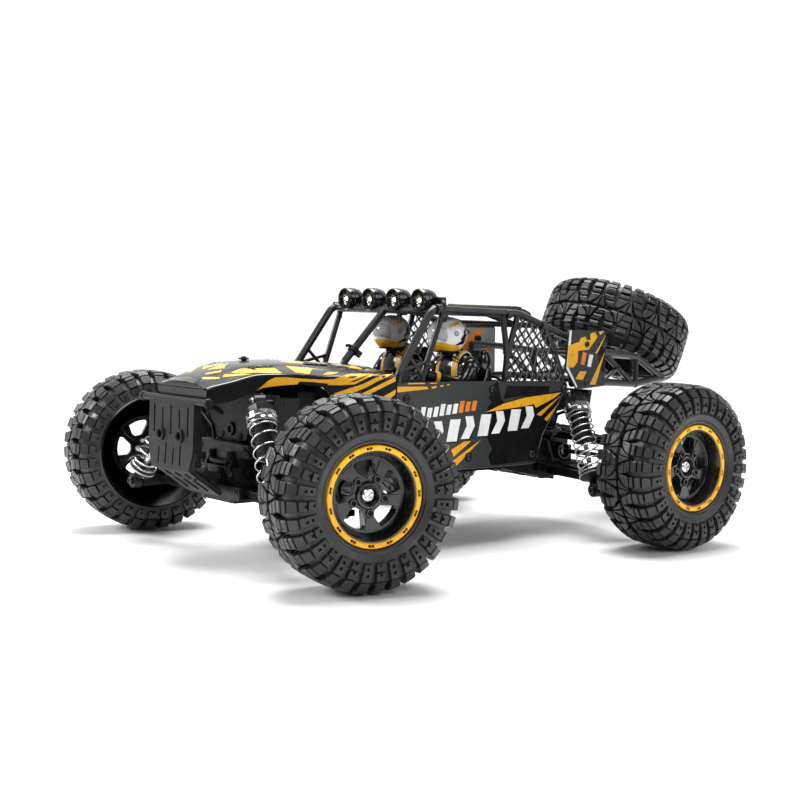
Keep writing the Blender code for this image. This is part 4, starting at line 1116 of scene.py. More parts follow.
def clamp(shape, centre, axis, radius):
    """A split collar round a tube, with its lug and screw."""
    u, v, w = across_of(axis)
    centre = Vector(centre)
    ring(shape, centre, w, radius + 0.9, radius - 0.2, -1.6, 1.6, "satin_black", 24)
    slab(shape, [(radius, -1.2), (radius + 3.2, -1.2), (radius + 3.2, 1.2), (radius, 1.2)], centre, u, v,
         -1.6, 1.6, "satin_black")
    screw(shape, centre + u * (radius + 2.0) + v * 1.2, v, 0.95, 0.5)


def net(cage, corners, slope, gap, radius, finish, shift):
    """Slats of one direction across the net's outline, each cut off where it meets a tube."""
    run, rise = math.cos(slope), math.sin(slope)
    reaches = [c.z * run - c.y * rise for c in corners]
    level = min(reaches) + gap * 0.6
    while level < max(reaches):
        ends = []
        for k, a in enumerate(corners):
            b, ra, rb = corners[(k + 1) % len(corners)], reaches[k], reaches[(k + 1) % len(corners)]
            if (ra - level) * (rb - level) < 0:
                ends.append(a.lerp(b, (level - ra) / (rb - ra)) + X * shift)
        if len(ends) == 2 and (ends[0] - ends[1]).length > 2.5:
            sweep(cage, ends, radius, finish, 8, flat=0.7, hint=X)
        level += gap


def side_frame(cage, side):
    """One side of the roll cage, with its net, gusset, sleeves and screws."""
    def p(x, y, z):
        return Vector((side * x, y, z))

    screen_foot, screen_top = p(49.4, 68, 98), p(46.6, 94, 135.3)
    door_top, door_foot = p(RAIL_X, 101.3, 134.5), p(46.8, 87, 96)
    rail_bend, rail_end = p(RAIL_X, 158, 133.0), p(45.4, 201, 119.0)
    knee, post_foot = p(48.4, 149.5, 108.5), p(SILL_X, 149, SILL_Z)
    brace_top, brace_foot = p(47.0, 181, 125.3), p(47.4, 196, 95.5)
    main = [p(SILL_X, 72, SILL_Z), screen_foot, screen_top, rail_bend, p(47.2, 178, 126.5), rail_end]
    tubes(cage, "cage_black", (main, TUBE_R, 4.5),
          ([p(SILL_X, 89, SILL_Z - 0.4), door_foot, door_top], THIN_R, 4),
          ([p(RAIL_X, 146, 132), knee, post_foot], THIN_R, 4),
          ([rail_bend, p(48.2, 150.3, 110)], THIN_R),
          ([brace_top, brace_foot, p(SILL_X, 193, SILL_Z)], THIN_R, 3),
          ([p(SILL_X, 71, SILL_Z), p(SILL_X, 195, SILL_Z)], THIN_R))
    # lattice behind the door: two sets of dark slats, and a pale set outside them
    corners = [post_foot, knee, rail_bend, brace_top, brace_foot, p(SILL_X, 193, SILL_Z)]
    for slope, gap, radius, finish, shift in ((-52, 4.4, 0.8, "cage_black", 0.0),
                                              (40, 4.6, 0.7, "cage_black", 0.0),
                                              (76, 4.4, 0.4, "clear_edge", 0.8)):
        net(cage, corners, math.radians(slope), gap, radius, finish, side * shift)
    # gusset with two diagonals between the two feet
    side_slab(cage, corners_cut([(70, 94.6), (86.8, 94.6), (88.8, 99.6), (73, 101.6)], 1.2), side * 46.2,
              side * 47.6, "bumper_grey",
              [corners_cut([(77, 96.4), (84.2, 96.4), (85.6, 98.4), (78.6, 99.8)], 0.8)])
    tubes(cage, "cage_black", ([p(48.8, 70.2, 101), p(47, 90.4, 106)], 1.0),
          ([p(48.4, 76.4, 110), p(47, 88, 98)], 1.0))
    for y, z, along in ((97.6, 135.2, Y), (150.0, 132.6, Y), (178, 126.4, Y), (151, 111, Z)):
        ring(cage, p(RAIL_X - (0.6 if z < 120 else 0), y, z), along, TUBE_R + 0.55, TUBE_R - 0.3, -1.6, 1.6,
             "cage_black", 20)
    for y, z in ((101.4, 129.0), (187.4, 110.6), (89.6, 104.2), (148.9, 96.4)):
        screw(cage, p(RAIL_X + 1.2, y, z), (side, 0, 0), 1.2, 0.6, y)


def build_roll_cage():
    cage = Shape()
    for _, side in SIDES:
        side_frame(cage, side)
    for (x, y, z), (bx, by, bz) in (((46.8, 95.5, 135.3), (42.5, 97.5, 134.0)),
                                    ((RAIL_X, 157, 133.0), (40, 157, 132.8))):
        tube(cage, [(x, y, z), (bx, by, bz), (-bx, by, bz), (-x, y, z)], TUBE_R, "cage_black", 4)
    tube(cage, [(SILL_X, 72, SILL_Z), (-SILL_X, 72, SILL_Z)], THIN_R, "cage_black")
    tube(cage, [(0, 70, 97), (0, 67.5, 103.2), (0, 97.2, 134.0)], TUBE_R, "cage_black", 5)
    clamp(cage, (0, 74.8, 110.7), (0, 29.7, 30.8), TUBE_R)
    tube(cage, [(0, 75.7, 110.1), (0, 72.2, 113.6), (0, 69.8, 113.3)], 0.9, "satin_black", 2, 10)
    for x in (-20, 20):
        tube(cage, [(x, 157, 132.8), (x * 1.6, 176, 124.6)], THIN_R, "cage_black")
    tube(cage, [(-46.8, 178, 126), (46.8, 178, 126)], THIN_R, "cage_black")
    return cage


CAGE_X = 45.6                   # the rear cage's side frames


def build_rear_cage():
    """Side frames and cross tubes, and the stud and dish that carry the spare wheel."""
    cage = Shape()
    lean = Vector((0, math.sin(SPARE_TILT), math.cos(SPARE_TILT)))
    for _, side in SIDES:
        x = side * CAGE_X
        rear_top, rear_end = (x, 262, 107), (x, 286, 93)
        low_bend = (x, 262, 89.6)
        tubes(cage, "cage_black", ([(x, 205, 112), (x, 232, 110), rear_top, rear_end], TUBE_R, 6),
              ([rear_end, low_bend, (x, 236, 91.2), (x, 205, 91.2)], TUBE_R, 6),
              ([(x, 205, 92), (x, 205, 113)], THIN_R), ([rear_top, low_bend], THIN_R),
              ([(x, 232, 110), (x, 258, 91)], THIN_R), ([(x, 233, 92), (x, 247, 101)], 1.2))
        for spot in (rear_end, rear_top, low_bend):
            ball(cage, spot, (2.5, 2.5, 2.5), "cage_black", 16, 10)
        screw(cage, (x + side * 1.6, 245, 100.6), (side, 0, 0), 1.3, 0.7)
        side_slab(cage, corners_cut([(257, 104.6), (264, 103), (264, 96), (258.6, 98.4)], 0.8), x - 0.7,
                  x + 0.7, "satin_black")
    for y, z in ((258, 107.2), (285, 93.4), (238, 91.2)):
        tube(cage, [(-CAGE_X, y, z), (CAGE_X, y, z)], TUBE_R, "cage_black")
    tube(cage, [(0, 238, 91.2), (0, 258, 107.2), (0, 285, 93.4)], TUBE_R, "cage_black", 4)
    centre = Vector(SPARE_CENTRE)
    foot = centre - lean * 27.5
    lathe(cage, [(0, 0), (5.2, 0), (5.6, 0.6), (4.4, 2.6), (4.0, 4), (4.0, 17.2), (3.4, 18.2), (0, 18.3)],
          foot, lean, "satin_black", 24)
    u, v, _ = across_of(lean, X)
    ring(cage, centre - lean * 10.4, lean, 12.5, 3.8, -0.9, 0.9, "satin_black", 40)
    for spoke, _ in spokes(6, u, v):
        screw(cage, centre - lean * 11.2 + spoke * 9.2, -lean, 1.2, 0.7)
        slab(cage, [(3.8, -12.5), (11.5, -11.2), (4.4, -18.5)], centre, spoke, lean, -0.5, 0.5, "satin_black")
    return cage


def build_cage():
    piece("roll_cage_tubes", mesh_of(build_roll_cage(), "roll_cage"), "chassis",
          ["roll_cage"], 0.12)
    piece("rear_cage_tubes", mesh_of(build_rear_cage(), "rear_cage"), "chassis",
          ["rear_cage"], 0.12)


build_cage()


# ============================== suspension =========================================================
INNER_X, OUTER_X = 22.0, 84.0
WHEELBASE = 221.0
AXLE_AT = {"front": 0.0, "rear": WHEELBASE}
FORK_IN, FORK_OUT = 6.4, 9.4            # the ears of an arm's tip, on either side of its axle
SEAT_AT, CUP_AT = 14.0, 10.5           # the spring's seats, from the upper and from the lower eye
BUMP = math.radians(14)
# heights of an arm's inner and outer axle, half its hinge barrel, and half its thickness
LEVELS = {"lower": (37.0, 33.0, 14.0, 1.9), "upper": (59.0, 55.0, 9.0, 1.5)}
# the arms' outlines and windows, as (distance out from the hinge, distance along the car)
LOWER_PLAN = [(1, -14), (1, 14), (38, 9.3), (62, 9.3), (62, 6.4), (56.3, 6.4), (56.3, -6.4), (62, -6.4),
              (62, -9.3), (38, -9.3)]
LOWER_HOLES = [[(6, 1.3), (6, 11.2), (25, 8.6), (16, 1.3)], [(6, -1.3), (16, -1.3), (25, -8.6), (6, -11.2)],
               [(20, 1.3), (29.5, 8.2), (48, 7.2), (48, 1.3)],
               [(20, -1.3), (48, -1.3), (48, -7.2), (29.5, -8.2)]]
UPPER_PLAN = [(1, -9), (1, 9), (36, 5.5), (54, 9.3), (62, 9.3), (62, 6.4), (56.3, 6.4), (56.3, -6.4),
              (62, -6.4), (62, -9.3), (54, -9.3), (36, -5.5)]
UPPER_HOLES = [[(6, -6.6), (6, 6.6), (24, 4.6), (24, -4.6)], [(28, -4.0), (28, 4.0), (36, 3.4), (48, 6.4),
                                                            (48, -6.4), (36, -3.4)]]
# upper eye, lower eye, the spring's turns, and its length at full bump as a share of that at rest
SHOCKS = {"front": ((37.0, -13.0, 86.0), (72.0, -25.0, 34.6), 7, 0.743),
          "rear": ((44.0, 210.0, 84.0), (76.0, 197.0, 30.5), 10, 0.728)}


def build_arm(end, side, level):
    """A trussed wishbone with raised rims, hinge barrel, forked tip and its pins."""
    in_z, out_z, half, thick = LEVELS[level]
    axle_y = AXLE_AT[end]
    plan, holes = (LOWER_PLAN, LOWER_HOLES) if level == "lower" else (UPPER_PLAN, UPPER_HOLES)
    arm = Shape()
    origin = Vector((side * INNER_X, axle_y, in_z))
    along = Vector((side * (OUTER_X - INNER_X), 0, out_z - in_z)).normalized()
    holes = [corners_cut(hole, 1.6) for hole in holes]
    slab(arm, plan, origin, along, Y, -thick, thick, "arm_black", holes)
    slab(arm, [(3.5, -0.8), (50, -0.8), (50, 0.8), (3.5, 0.8)], origin, along, Y, -thick - 0.7,
         thick + 0.7, "arm_black")
    for flip in (1, -1):
        rim = [(a, flip * b) for a, b in plan[1:3]] + [(a, flip * (b - 1.3)) for a, b in reversed(plan[1:3])]
        slab(arm, rim, origin, along, Y, -thick - 0.7, thick + 0.7, "arm_black")
        inner, outer = ((side * OUTER_X, axle_y + flip * y, out_z) for y in (FORK_IN, FORK_OUT))
        rod(arm, inner, outer, 3.1, "arm_black", 20)
        screw(arm, outer, (0, flip, 0), 1.7, 0.7)
    ring(arm, origin, Y, 3.2, 1.8, -half, half, "arm_black", 20)
    for k in range(3):
        ring(arm, origin, Y, 3.5, 3.0, half * (0.7 * k - 0.7) - 0.8, half * (0.7 * k - 0.7) + 0.8,
             "arm_black", 20, 0.1)
    if level == "lower":
        eye_x, eye_y, eye_z = SHOCKS[end][1]
        near, far = sorted((side * (eye_x - 3.5), side * (eye_x + 3.5)))
        block(arm, (near, eye_y + 3.4, eye_z - 3.2), (far, eye_y + 10, eye_z + 0.6), "arm_black")
        block(arm, (near, eye_y + 9.6, eye_z - 3.0), (far, axle_y - 7.5, out_z + 1.9), "arm_black")
        rod(arm, (side * eye_x, eye_y + 5, eye_z), (side * eye_x, eye_y - 3.5, eye_z), 1.35, "steel")
        screw(arm, (side * eye_x, eye_y - 3.5, eye_z), (0, -1, 0), 2.2, 1.0)
        for k in (-1, 1):
            slab(arm, [(0, 0), (5.5, 0), (0, 5.0)], (side * (eye_x + 2.6 * k), eye_y + 9.8, eye_z + 0.4),
                 Y, Z, -0.7, 0.7, "arm_black")
    return arm


def arm_swing(point, angle):
    dx, dz = point[0] - INNER_X, point[2] - LEVELS["lower"][0]
    c, s = math.cos(angle), math.sin(angle)
    return Vector((INNER_X + dx * c - dz * s, point[1], LEVELS["lower"][0] + dx * s + dz * c))


def shock_lines(end, side):
    """Upper eye, direction to the lower eye, and the shock's swing axis."""
    top, eye = (Vector(p) for p in SHOCKS[end][:2])
    raised = arm_swing(eye, BUMP)
    flip = Vector((side, 1, 1))
    top, eye, raised = top * flip, eye * flip, raised * flip
    along = (eye - top).normalized()
    across = along.cross(raised - top).normalized()
    return top, eye, along, across if across.y < 0 else -across


def build_shock_body(end, side):
    top, _, along, away = shock_lines(end, side)
    shock = Shape()
    ring(shock, top, away, 4.1, 1.8, -3.0, 3.0, "satin_black", 24)
    for turn, low, high, r in ((0.0, 2.2, 8.0, 6.9), (TAU / 16, 5.6, 8.2, 7.1)):
        lathe(shock, [(0, low), (r - 1.6, low), (r, low + 1.4), (r, high), (0, high)], top, along,
              "satin_black", 8, turn=turn)
    u, v, _ = across_of(along)
    rings, knurls = [], 60
    for s, r, deep in ((8.0, 7.6, 0), (8.4, 8.1, 0), (10.6, 8.15, 0), (10.9, 7.95, 0.12),
                       (12.4, 7.95, 0.12), (12.7, 7.7, 0), (13.0, 7.7, 0), (13.2, 8.1, 0), (13.8, 8.1, 0),
                       (14.0, 7.8, 0)):
        rings.append([top + along * s + (u * math.cos(TAU * k / knurls) + v * math.sin(TAU * k / knurls))
                      * (r - (deep if k % 2 else 0)) for k in range(knurls)])
    loft(shock, rings, "chrome")
    threads = [(5.0, 13.5)]
    for k in range(17):
        threads += [(5.4, 14.0 + k), (5.05, 14.5 + k)]
    threads += [(5.3, 30.4), (5.3, 31.0), (4.6, 31.4), (1.7, 31.4)]
    lathe(shock, [(0, 13.5), *threads, (1.7, 30), (0, 30)], top, along, "satin_black", 28)
    return shock


def build_shock_shaft(end, side):
    top, eye, along, _ = shock_lines(end, side)
    reach = (eye - top).length
    shock = Shape()
    rod(shock, top + along * 28.5, top + along * (reach - 7), 1.5, "chrome", 20)
    lathe(shock, [(1.4, reach - 9.6), (5.6, reach - 9.6), (6.3, reach - 10.6), (6.3, reach - 10.9),
                  (5.8, reach - 10.9), (5.6, reach - 10.6), (7.6, reach - 10.5), (7.7, reach - 9.4),
                  (7.2, reach - 8.4), (4.6, reach - 7.4), (3.1, reach - 6.4), (1.4, reach - 6.4)],
          top, along, "satin_black", 32, closed=True)
    ring(shock, top + along * (reach - 9.2), along, 7.85, 7.3, -0.5, 0.5, "steel", 32, 0.1)
    lathe(shock, [(0, reach - 8.4), (3.0, reach - 8.4), (2.7, reach - 5.4), (2.9, reach - 4.2),
                  (2.9, reach - 2.8), (0, reach - 2.8)], top, along, "satin_black", 8)
    ring(shock, eye, Y, 4.2, 2.3, -2.4, 2.4, "satin_black", 24)
    return shock


def build_spring(end, side):
    top, eye, along, _ = shock_lines(end, side)
    turns = SHOCKS[end][2]
    wire, radius = 0.5, 7.0
    start, stop = SEAT_AT + wire + 0.1, (eye - top).length - CUP_AT - wire - 0.1
    u, v, _ = across_of(along)
    closed, per_turn = 0.9, 22
    pitch = (stop - start - 2 * closed * 1.4) / (turns - 2 * closed)
    path = []
    for k in range(turns * per_turn + 1):
        turn = k / per_turn
        s = start + 1.4 * min(turn, closed) + pitch * max(0.0, min(turn, turns - closed) - closed)
        s += 1.4 * max(0.0, turn - (turns - closed))
        spoke = u * math.cos(TAU * turn) + v * math.sin(TAU * turn)
        path.append(top + along * s + spoke * radius)
    spring = Shape()
    sweep(spring, path, wire, "chrome", 10)
    return spring


def build_drive_shaft(end, side):
    """A dogbone from the gear casing out to the hub, with its ball ends and cross pins."""
    axle_y = AXLE_AT[end]
    shaft = Shape()
    inner, outer = Vector((side * 24, axle_y, 47.8)), Vector((side * 86, axle_y, 47.5))
    rod(shaft, inner, outer, 1.45, "dark_steel", 14)
    for spot in (inner, outer):
        ball(shaft, spot, (2.3, 2.3, 2.3), "steel", 16, 10)
        rod(shaft, spot - Z * 2.9, spot + Z * 2.9, 0.7, "steel", 10)
    return shaft


def build_output_cup(end, side):
    axle_y = AXLE_AT[end]
    cup = Shape()
    centre = Vector((side * 17.2, axle_y, 47.6))
    lathe(cup, [(0, 0), (4.9, 0), (5.3, 0.5), (5.3, 8.4), (4.9, 8.8), (4.3, 8.8), (4.1, 1.2), (0, 1.2)],
          centre, (side, 0, 0), "dark_steel", 28)
    top, _, _, away = shock_lines(end, side)
    screw(cup, top + away * 4.3, away, 2.5, 1.3)
    ring(cup, top + away * 3.4, away, 2.9, 1.3, 0, 0.9, "steel", 20, 0.1)
    return cup


def build_suspension():
    for end in ("front", "rear"):
        for name, side in SIDES:
            corner = f"{end}_{name}"
            for level in ("lower", "upper"):
                piece(f"{end}_{level}_arm_{name}_truss", mesh_of(build_arm(end, side, level), "arm"),
                      f"{level}_arm_{corner}", [f"{end}_{level}_arm_{name}"], 0.35)
            piece(f"{end}_shock_body_{name}_threaded", mesh_of(build_shock_body(end, side), "shock_body"),
                  f"shock_body_{corner}", [f"{end}_shock_body_{name}"])
            piece(f"{end}_shock_shaft_{name}_turned", mesh_of(build_shock_shaft(end, side), "shock_shaft"),
                  f"shock_shaft_{corner}", [f"{end}_shock_shaft_{name}"])
            coil = piece(f"{end}_spring_{name}_coil", mesh_of(build_spring(end, side), "spring"),
                         f"shock_body_{corner}", [f"{end}_spring_{name}"])
            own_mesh(coil)
            piece(f"{end}_drive_shaft_{name}", mesh_of(build_drive_shaft(end, side), "drive_shaft"),
                  f"lower_arm_{corner}")
            piece(f"{end}_output_cup_{name}", mesh_of(build_output_cup(end, side), "output_cup"),
                  "chassis", bevel=0.1)


build_suspension()


# ============================== bumper and lamps ===================================================
HOLE_X = 9.8                    # the bumper's two screw holes


def build_bumper():
    """A grooved upper plate, a plate kicked back under it, side returns and a cross tube on top."""
    bumper = Shape()
    lean = Vector((0, 1.0, 35)).normalized()      # the upper plate, from its bend upwards
    foot = Vector((0, -43.4, 51))
    out = X.cross(lean)                            # points forwards
    width_low, width_high = 17.5, 23.0
    outline = corners_cut([(-width_low - 1.6, -1.5), (width_low + 1.6, -1.5), (width_high, 9),
                           (width_high, 34.6), (-width_high, 34.6), (-width_high, 9)], 1.5)
    grooves = []
    for k, x in enumerate((-17, -8.4, 0.2, 8.8, 17.4)):
        low = 21 if k % 2 else 17.5
        grooves.append(slot_outline((x, low), (x - 0.4, 31.5 - (k % 2) * 1.6), 0.62))
    for k, x in enumerate((-11.5, -4.2, 3.4, 10.6)):
        grooves.append(slot_outline((x - 0.6, 1.5), (x, 11.6 if k % 2 else 9.4), 0.55))
    holes = [circle(x, 16.6, 2.2, 24) for x in (-HOLE_X, HOLE_X)]
    sign = 1 if out.y < 0 else -1
    slab(bumper, outline, foot, X, lean, *sorted((0.0, -sign * 1.7)), "bumper_grey", holes)
    slab(bumper, outline, foot, X, lean, *sorted((0.0, sign * 0.9)), "bumper_grey", [*holes, *grooves])
    for x in (-HOLE_X, HOLE_X):
        spot = foot + X * x + lean * 16.6
        front = out * sign
        lathe(bumper, [(2.2, -0.4), (3.7, -0.4), (3.7, 1.6), (3.2, 2.2), (2.5, 2.2), (2.2, 1.8)], spot, front,
              "bumper_grey", 28, closed=True)
    # kicked-back lower plate
    back = Vector((0, 20.5, -14.6)).normalized()
    outline = corners_cut([(-19, 0), (19, 0), (17.5, 6), (17.5, 24.6), (-17.5, 24.6), (-17.5, 6)], 1.2)
    low_out = X.cross(back)
    sign = 1 if low_out.y < 0 else -1
    slab(bumper, outline, foot + Vector((0, 0.2, -0.6)), X, back, *sorted((0.7 * sign, -1.5 * sign)),
         "bumper_grey")
    for x in (-10, 0, 10):
        slab(bumper, slot_outline((x, 4), (x, 20), 0.7), foot + Vector((0, 0.2, -0.6)), X, back,
             *sorted((0.6 * sign, 1.3 * sign)), "bumper_grey")
    # side returns, top tube and the boss behind
    for side in (1, -1):
        flange = [(-43.2, 60), (-43.0, 85.6), (-39.4, 85.6), (-38.6, 62), (-40, 53)]
        side_slab(bumper, corners_cut(flange, 1), side * 21.7, side * 23.2, "bumper_grey")
        edge = [(side * 23, -41.6, 60.2), (side * 18.8, -41.4, 50.8), (side * 17.4, -38.6, 48.6),
                (side * 17.3, -24, 38.4)]
        tube(bumper, edge, 1.0, "bumper_grey", 2, 10)
        lathe(bumper, [(0, 0), (2.2, 0), (2.6, 0.6), (2.6, 2.2), (2.2, 2.8), (0, 3.0)],
              (side * 31.8, -41.3, 86), (side, 0, 0), "bumper_grey", 24)
        tube(bumper, [(side * 27.5, -40.6, 86), (side * 27.5, -35, 84.5), (side * 18, -24, 80)], 1.3,
             "satin_black", 3, 10)
        rod(bumper, (side * HOLE_X, -41.6, 67.6), (side * HOLE_X, -33, 67.6), 2.9, "satin_black")
    tube(bumper, [(-33, -41.3, 86), (33, -41.3, 86)], 2.0, "bumper_grey", 1, 20)
    rod(bumper, (-17.0, -31.5, 46.5), (17.0, -31.5, 46.5), 3.4, "bumper_grey", 24)
    block(bumper, (-15, -38, 44.6), (15, -22, 47.4), "bumper_grey")
    return bumper


LAMP_Z, LAMP_FRONT = 139.9, 93.3
LAMP_X = (-34.35, -11.45, 11.45, 34.35)
PEG_X = 22.9


def build_light_bar():
    """Four open lamps, each with a bowl, a reflector and an LED, on a bar with pegs and a lead."""
    lamps = Shape()
    for x in LAMP_X:
        front = Vector((x, LAMP_FRONT, LAMP_Z))
        lathe(lamps, [(5.3, 0.5), (5.5, 0.0), (6.2, 0.0), (6.5, 0.5), (6.5, 2.6), (6.2, 2.9), (6.2, 3.5),
                      (6.5, 3.8), (6.5, 6.4), (6.0, 8.6), (4.8, 10.6), (3.2, 12.0), (2.8, 13.6), (0, 13.9),
                      (0, 6.0), (1.6, 5.6), (4.9, 3.0), (5.2, 1.8)], front, Y, "gloss_black", 40, closed=True)
        lathe(lamps, [(2.2, 2.6), (3.6, 2.2), (4.8, 1.6), (5.25, 1.0), (5.25, 1.8), (4.4, 2.8), (2.2, 3.2)],
              front, Y, "print_black", 36, closed=True)
        lathe(lamps, [(0, 2.6), (0.8, 2.5), (1.7, 1.8), (2.3, 1.0), (2.6, 1.0), (2.4, 2.4), (1.4, 3.2),
                      (0, 3.2)], front, Y, "chrome", 10)
        ball(lamps, front + Y * 1.5, (1.15, 0.9, 1.15), "lamp_warm", 16, 8)
        for spoke, _ in spokes(4, X, Z, TAU / 8):
            slab(lamps, [(4.6, -0.18), (5.3, -0.18), (5.3, 0.18), (4.6, 0.18)],
                 front + Y * 0.9, spoke, Y, -0.2, 0.2, "gloss_black")
        ring(lamps, front + Y * 9.2, Y, 5.9, 4.4, -0.35, 0.35, "gloss_black", 32, 0.1)
    bar = corners_cut([(-45.4, 138.2), (-41, 137.2), (41, 137.2), (45.4, 138.2), (45.4, 141.8),
                       (-45.4, 141.8)], 1)
    slab(lamps, bar, (0, 0, 0), X, Z, -105.2, -101.0, "satin_black")
    for side in (1, -1):
        tube(lamps, [(side * 44, 103, 139.6), (side * 47.4, 102, 138.2), (side * RAIL_X, 101, 135.0)], 1.5,
             "satin_black", 2, 12)
        rod(lamps, (side * PEG_X, 103, 132.2), (side * PEG_X, 103, 139), 1.6, "satin_black")
        ring(lamps, (side * PEG_X, 103, 137.2), Z, 2.4, 1.4, -0.7, 0.7, "satin_black", 20)
    for x in (-PEG_X, 0, PEG_X):
        screw(lamps, (x, 101.0, 139.8), -Y, 1.3, 0.7)
    wire = [(-34.35, 107.4, 139), (-28, 111, 138.6), (-20, 108, 137.8), (-11.45, 107.6, 139), (0, 111, 138.4),
            (11.45, 107.6, 139), (22, 110.6, 138.2), (34.35, 107.4, 139)]
    sweep(lamps, rounded(wire, 4), 0.5, "dull_black", 8)
    return lamps


def build_front():
    piece("front_bumper_grooved", mesh_of(build_bumper(), "bumper"), "chassis",
          ["front_bumper"], 0.28)
    piece("light_bar_lamps", mesh_of(build_light_bar(), "lamps"), "chassis",
          ["light_bar"], 0.15)


build_front()


# ============================== cockpit ============================================================
DRIVER_X, PASSENGER_X = 27, -25
HELMET = Vector((0, 122.5, 120.1))
HELMET_R = Vector((10.5, 12, 10.7))
SUIT_HALF, SUIT_POWER = 13.9, 2.7       # half the suit's breadth, and how square its shoulders are


def helmet_at(turn, rise, lift=0.0):
    """Point on the helmet: turn is degrees from straight ahead, rise degrees above the middle."""
    a, e = math.radians(turn), math.radians(rise)
    ahead = math.cos(a)
    level = math.cos(e) ** 0.9
    down = max(0.0, -math.sin(e))
    reach = 1 + 0.1 * max(0.0, ahead) ** 2 * down - 0.12 * down ** 2
    spot = Vector((math.sin(a) * level * reach * HELMET_R.x,
                   -ahead * level * reach * HELMET_R.y * (0.94 if ahead < 0 else 1.0),
                   math.sin(e) * HELMET_R.z * (0.97 if rise > 0 else 1.06)))
    normal = Vector((math.sin(a) * level / HELMET_R.x, -ahead * level / HELMET_R.y,
                     math.sin(e) / HELMET_R.z)).normalized()
    return spot + normal * lift, normal


def torso_at(u, turn, lift=0.0):
    """Point on the suit: u runs across the shoulders, turn goes from the front over the top."""
    t = math.radians(turn)
    broad = max(0.0, 1 - abs(u / SUIT_HALF) ** SUIT_POWER) ** (1 / SUIT_POWER)
    drop = 1.6 * (u / SUIT_HALF) ** 2
    spot = Vector((u, 130 - broad * 9.3 * math.cos(t), 98.4 - drop + broad * 13.4 * math.sin(t)))
    normal = Vector((0.5 * u / SUIT_HALF, -math.cos(t), math.sin(t) * 0.85)).normalized()
    return spot + normal * lift, normal


def helmet_patch(shape, finish, lift, grid, outline, middle):
    """A printed patch on a helmet, its corners given as (turn, rise)."""
    def place(a, b):
        spot, normal = helmet_at(a, b, lift)
        return spot + middle, normal
    wrap(shape, outline, place, 0.25, finish, (), grid)


# printed patches as (finish, lift, grid, outline): those on both sides, and those across the middle
HELMET_SIDE_PRINTS = (
    ("print_yellow", 0.12, 9, [(86, 34), (101, 40), (103, 51), (88, 45)]),
    ("print_yellow", 0.12, 9, [(68, 27), (83, 33), (85, 43), (70, 38)]),
    ("print_yellow", 0.12, 9, [(58, 24), (65, 26), (67, 34), (60, 32)]),
    ("print_black", 0.12, 10, [(78, -30), (100, -16), (95, -10), (110, 4), (106, 8), (127, 26),
                               (119, 6), (128, 3), (116, -10), (130, -16), (108, -26)]),
    ("print_yellow", 0.3, 9, [(-1, -52), (70, -52), (110, -45), (92, -30), (64, -27), (40, -21), (-1, -20)]))
HELMET_PRINTS = (
    ("visor_tint", 0.25, 8, [(-50, -18), (50, -18), (54, -6), (50, 22), (26, 29), (-26, 29), (-50, 22),
                             (-54, -6)]),
    ("helmet_gold", 0.1, 9, [(150, -30), (210, -30), (240, 34), (236, 62), (124, 62), (120, 34)]),
    *(("dull_black", 0.15, 6, [(-12 + 9 * k, 52), (-6 + 9 * k, 52), (-5 + 8 * k, 66), (-10 + 8 * k, 66)])
      for k in range(3)))


def build_helmet(shape, x):
    middle = HELMET + X * x
    steps, levels = 44, [-58, -50, -42, -34, -26, -18, -9, 0, 10, 20, 30, 40, 50, 60, 69, 77, 84, 89]
    rings = []
    for rise in levels:
        rings.append([middle + helmet_at(360 * k / steps, rise)[0] for k in range(steps)])
    inner = [[p.lerp(middle + Vector((0, 0, p.z - middle.z)), 0.16) for p in ring] for ring in rings[:3]]
    loft(shape, [inner[2], inner[1], inner[0], *rings], "helmet_silver")
    for flip in (1, -1):
        for finish, lift, grid, outline in HELMET_SIDE_PRINTS:
            helmet_patch(shape, finish, lift, grid, [(flip * a, b) for a, b in outline][::flip], middle)
        spot, normal = helmet_at(80, 6)
        ring(shape, spot + middle, normal, 1.5, 0.7, -0.3, 0.5, "visor_tint", 18, 0.1)
    for patch in HELMET_PRINTS:
        helmet_patch(shape, *patch, middle)
    # rolled lower edge, and the neck
    roll = []
    for lift, rise in ((0.1, 0.6), (0.5, 0.2), (0.5, -0.7), (-0.4, -1.0), (-1.6, -0.4), (-1.2, 0.6)):
        roll.append([middle + helmet_at(360 * k / 40, -50, lift)[0] + Z * rise for k in range(40)])
    loft(shape, roll, "satin_black", caps=False, loop=True)
    lathe(shape, [(0, 0), (7.6, 0), (7.2, 1.6), (6.4, 2.6), (6.2, 4.2), (0, 4.4)], (x, 127, 108.2), Z,
          "suit_black", 26)


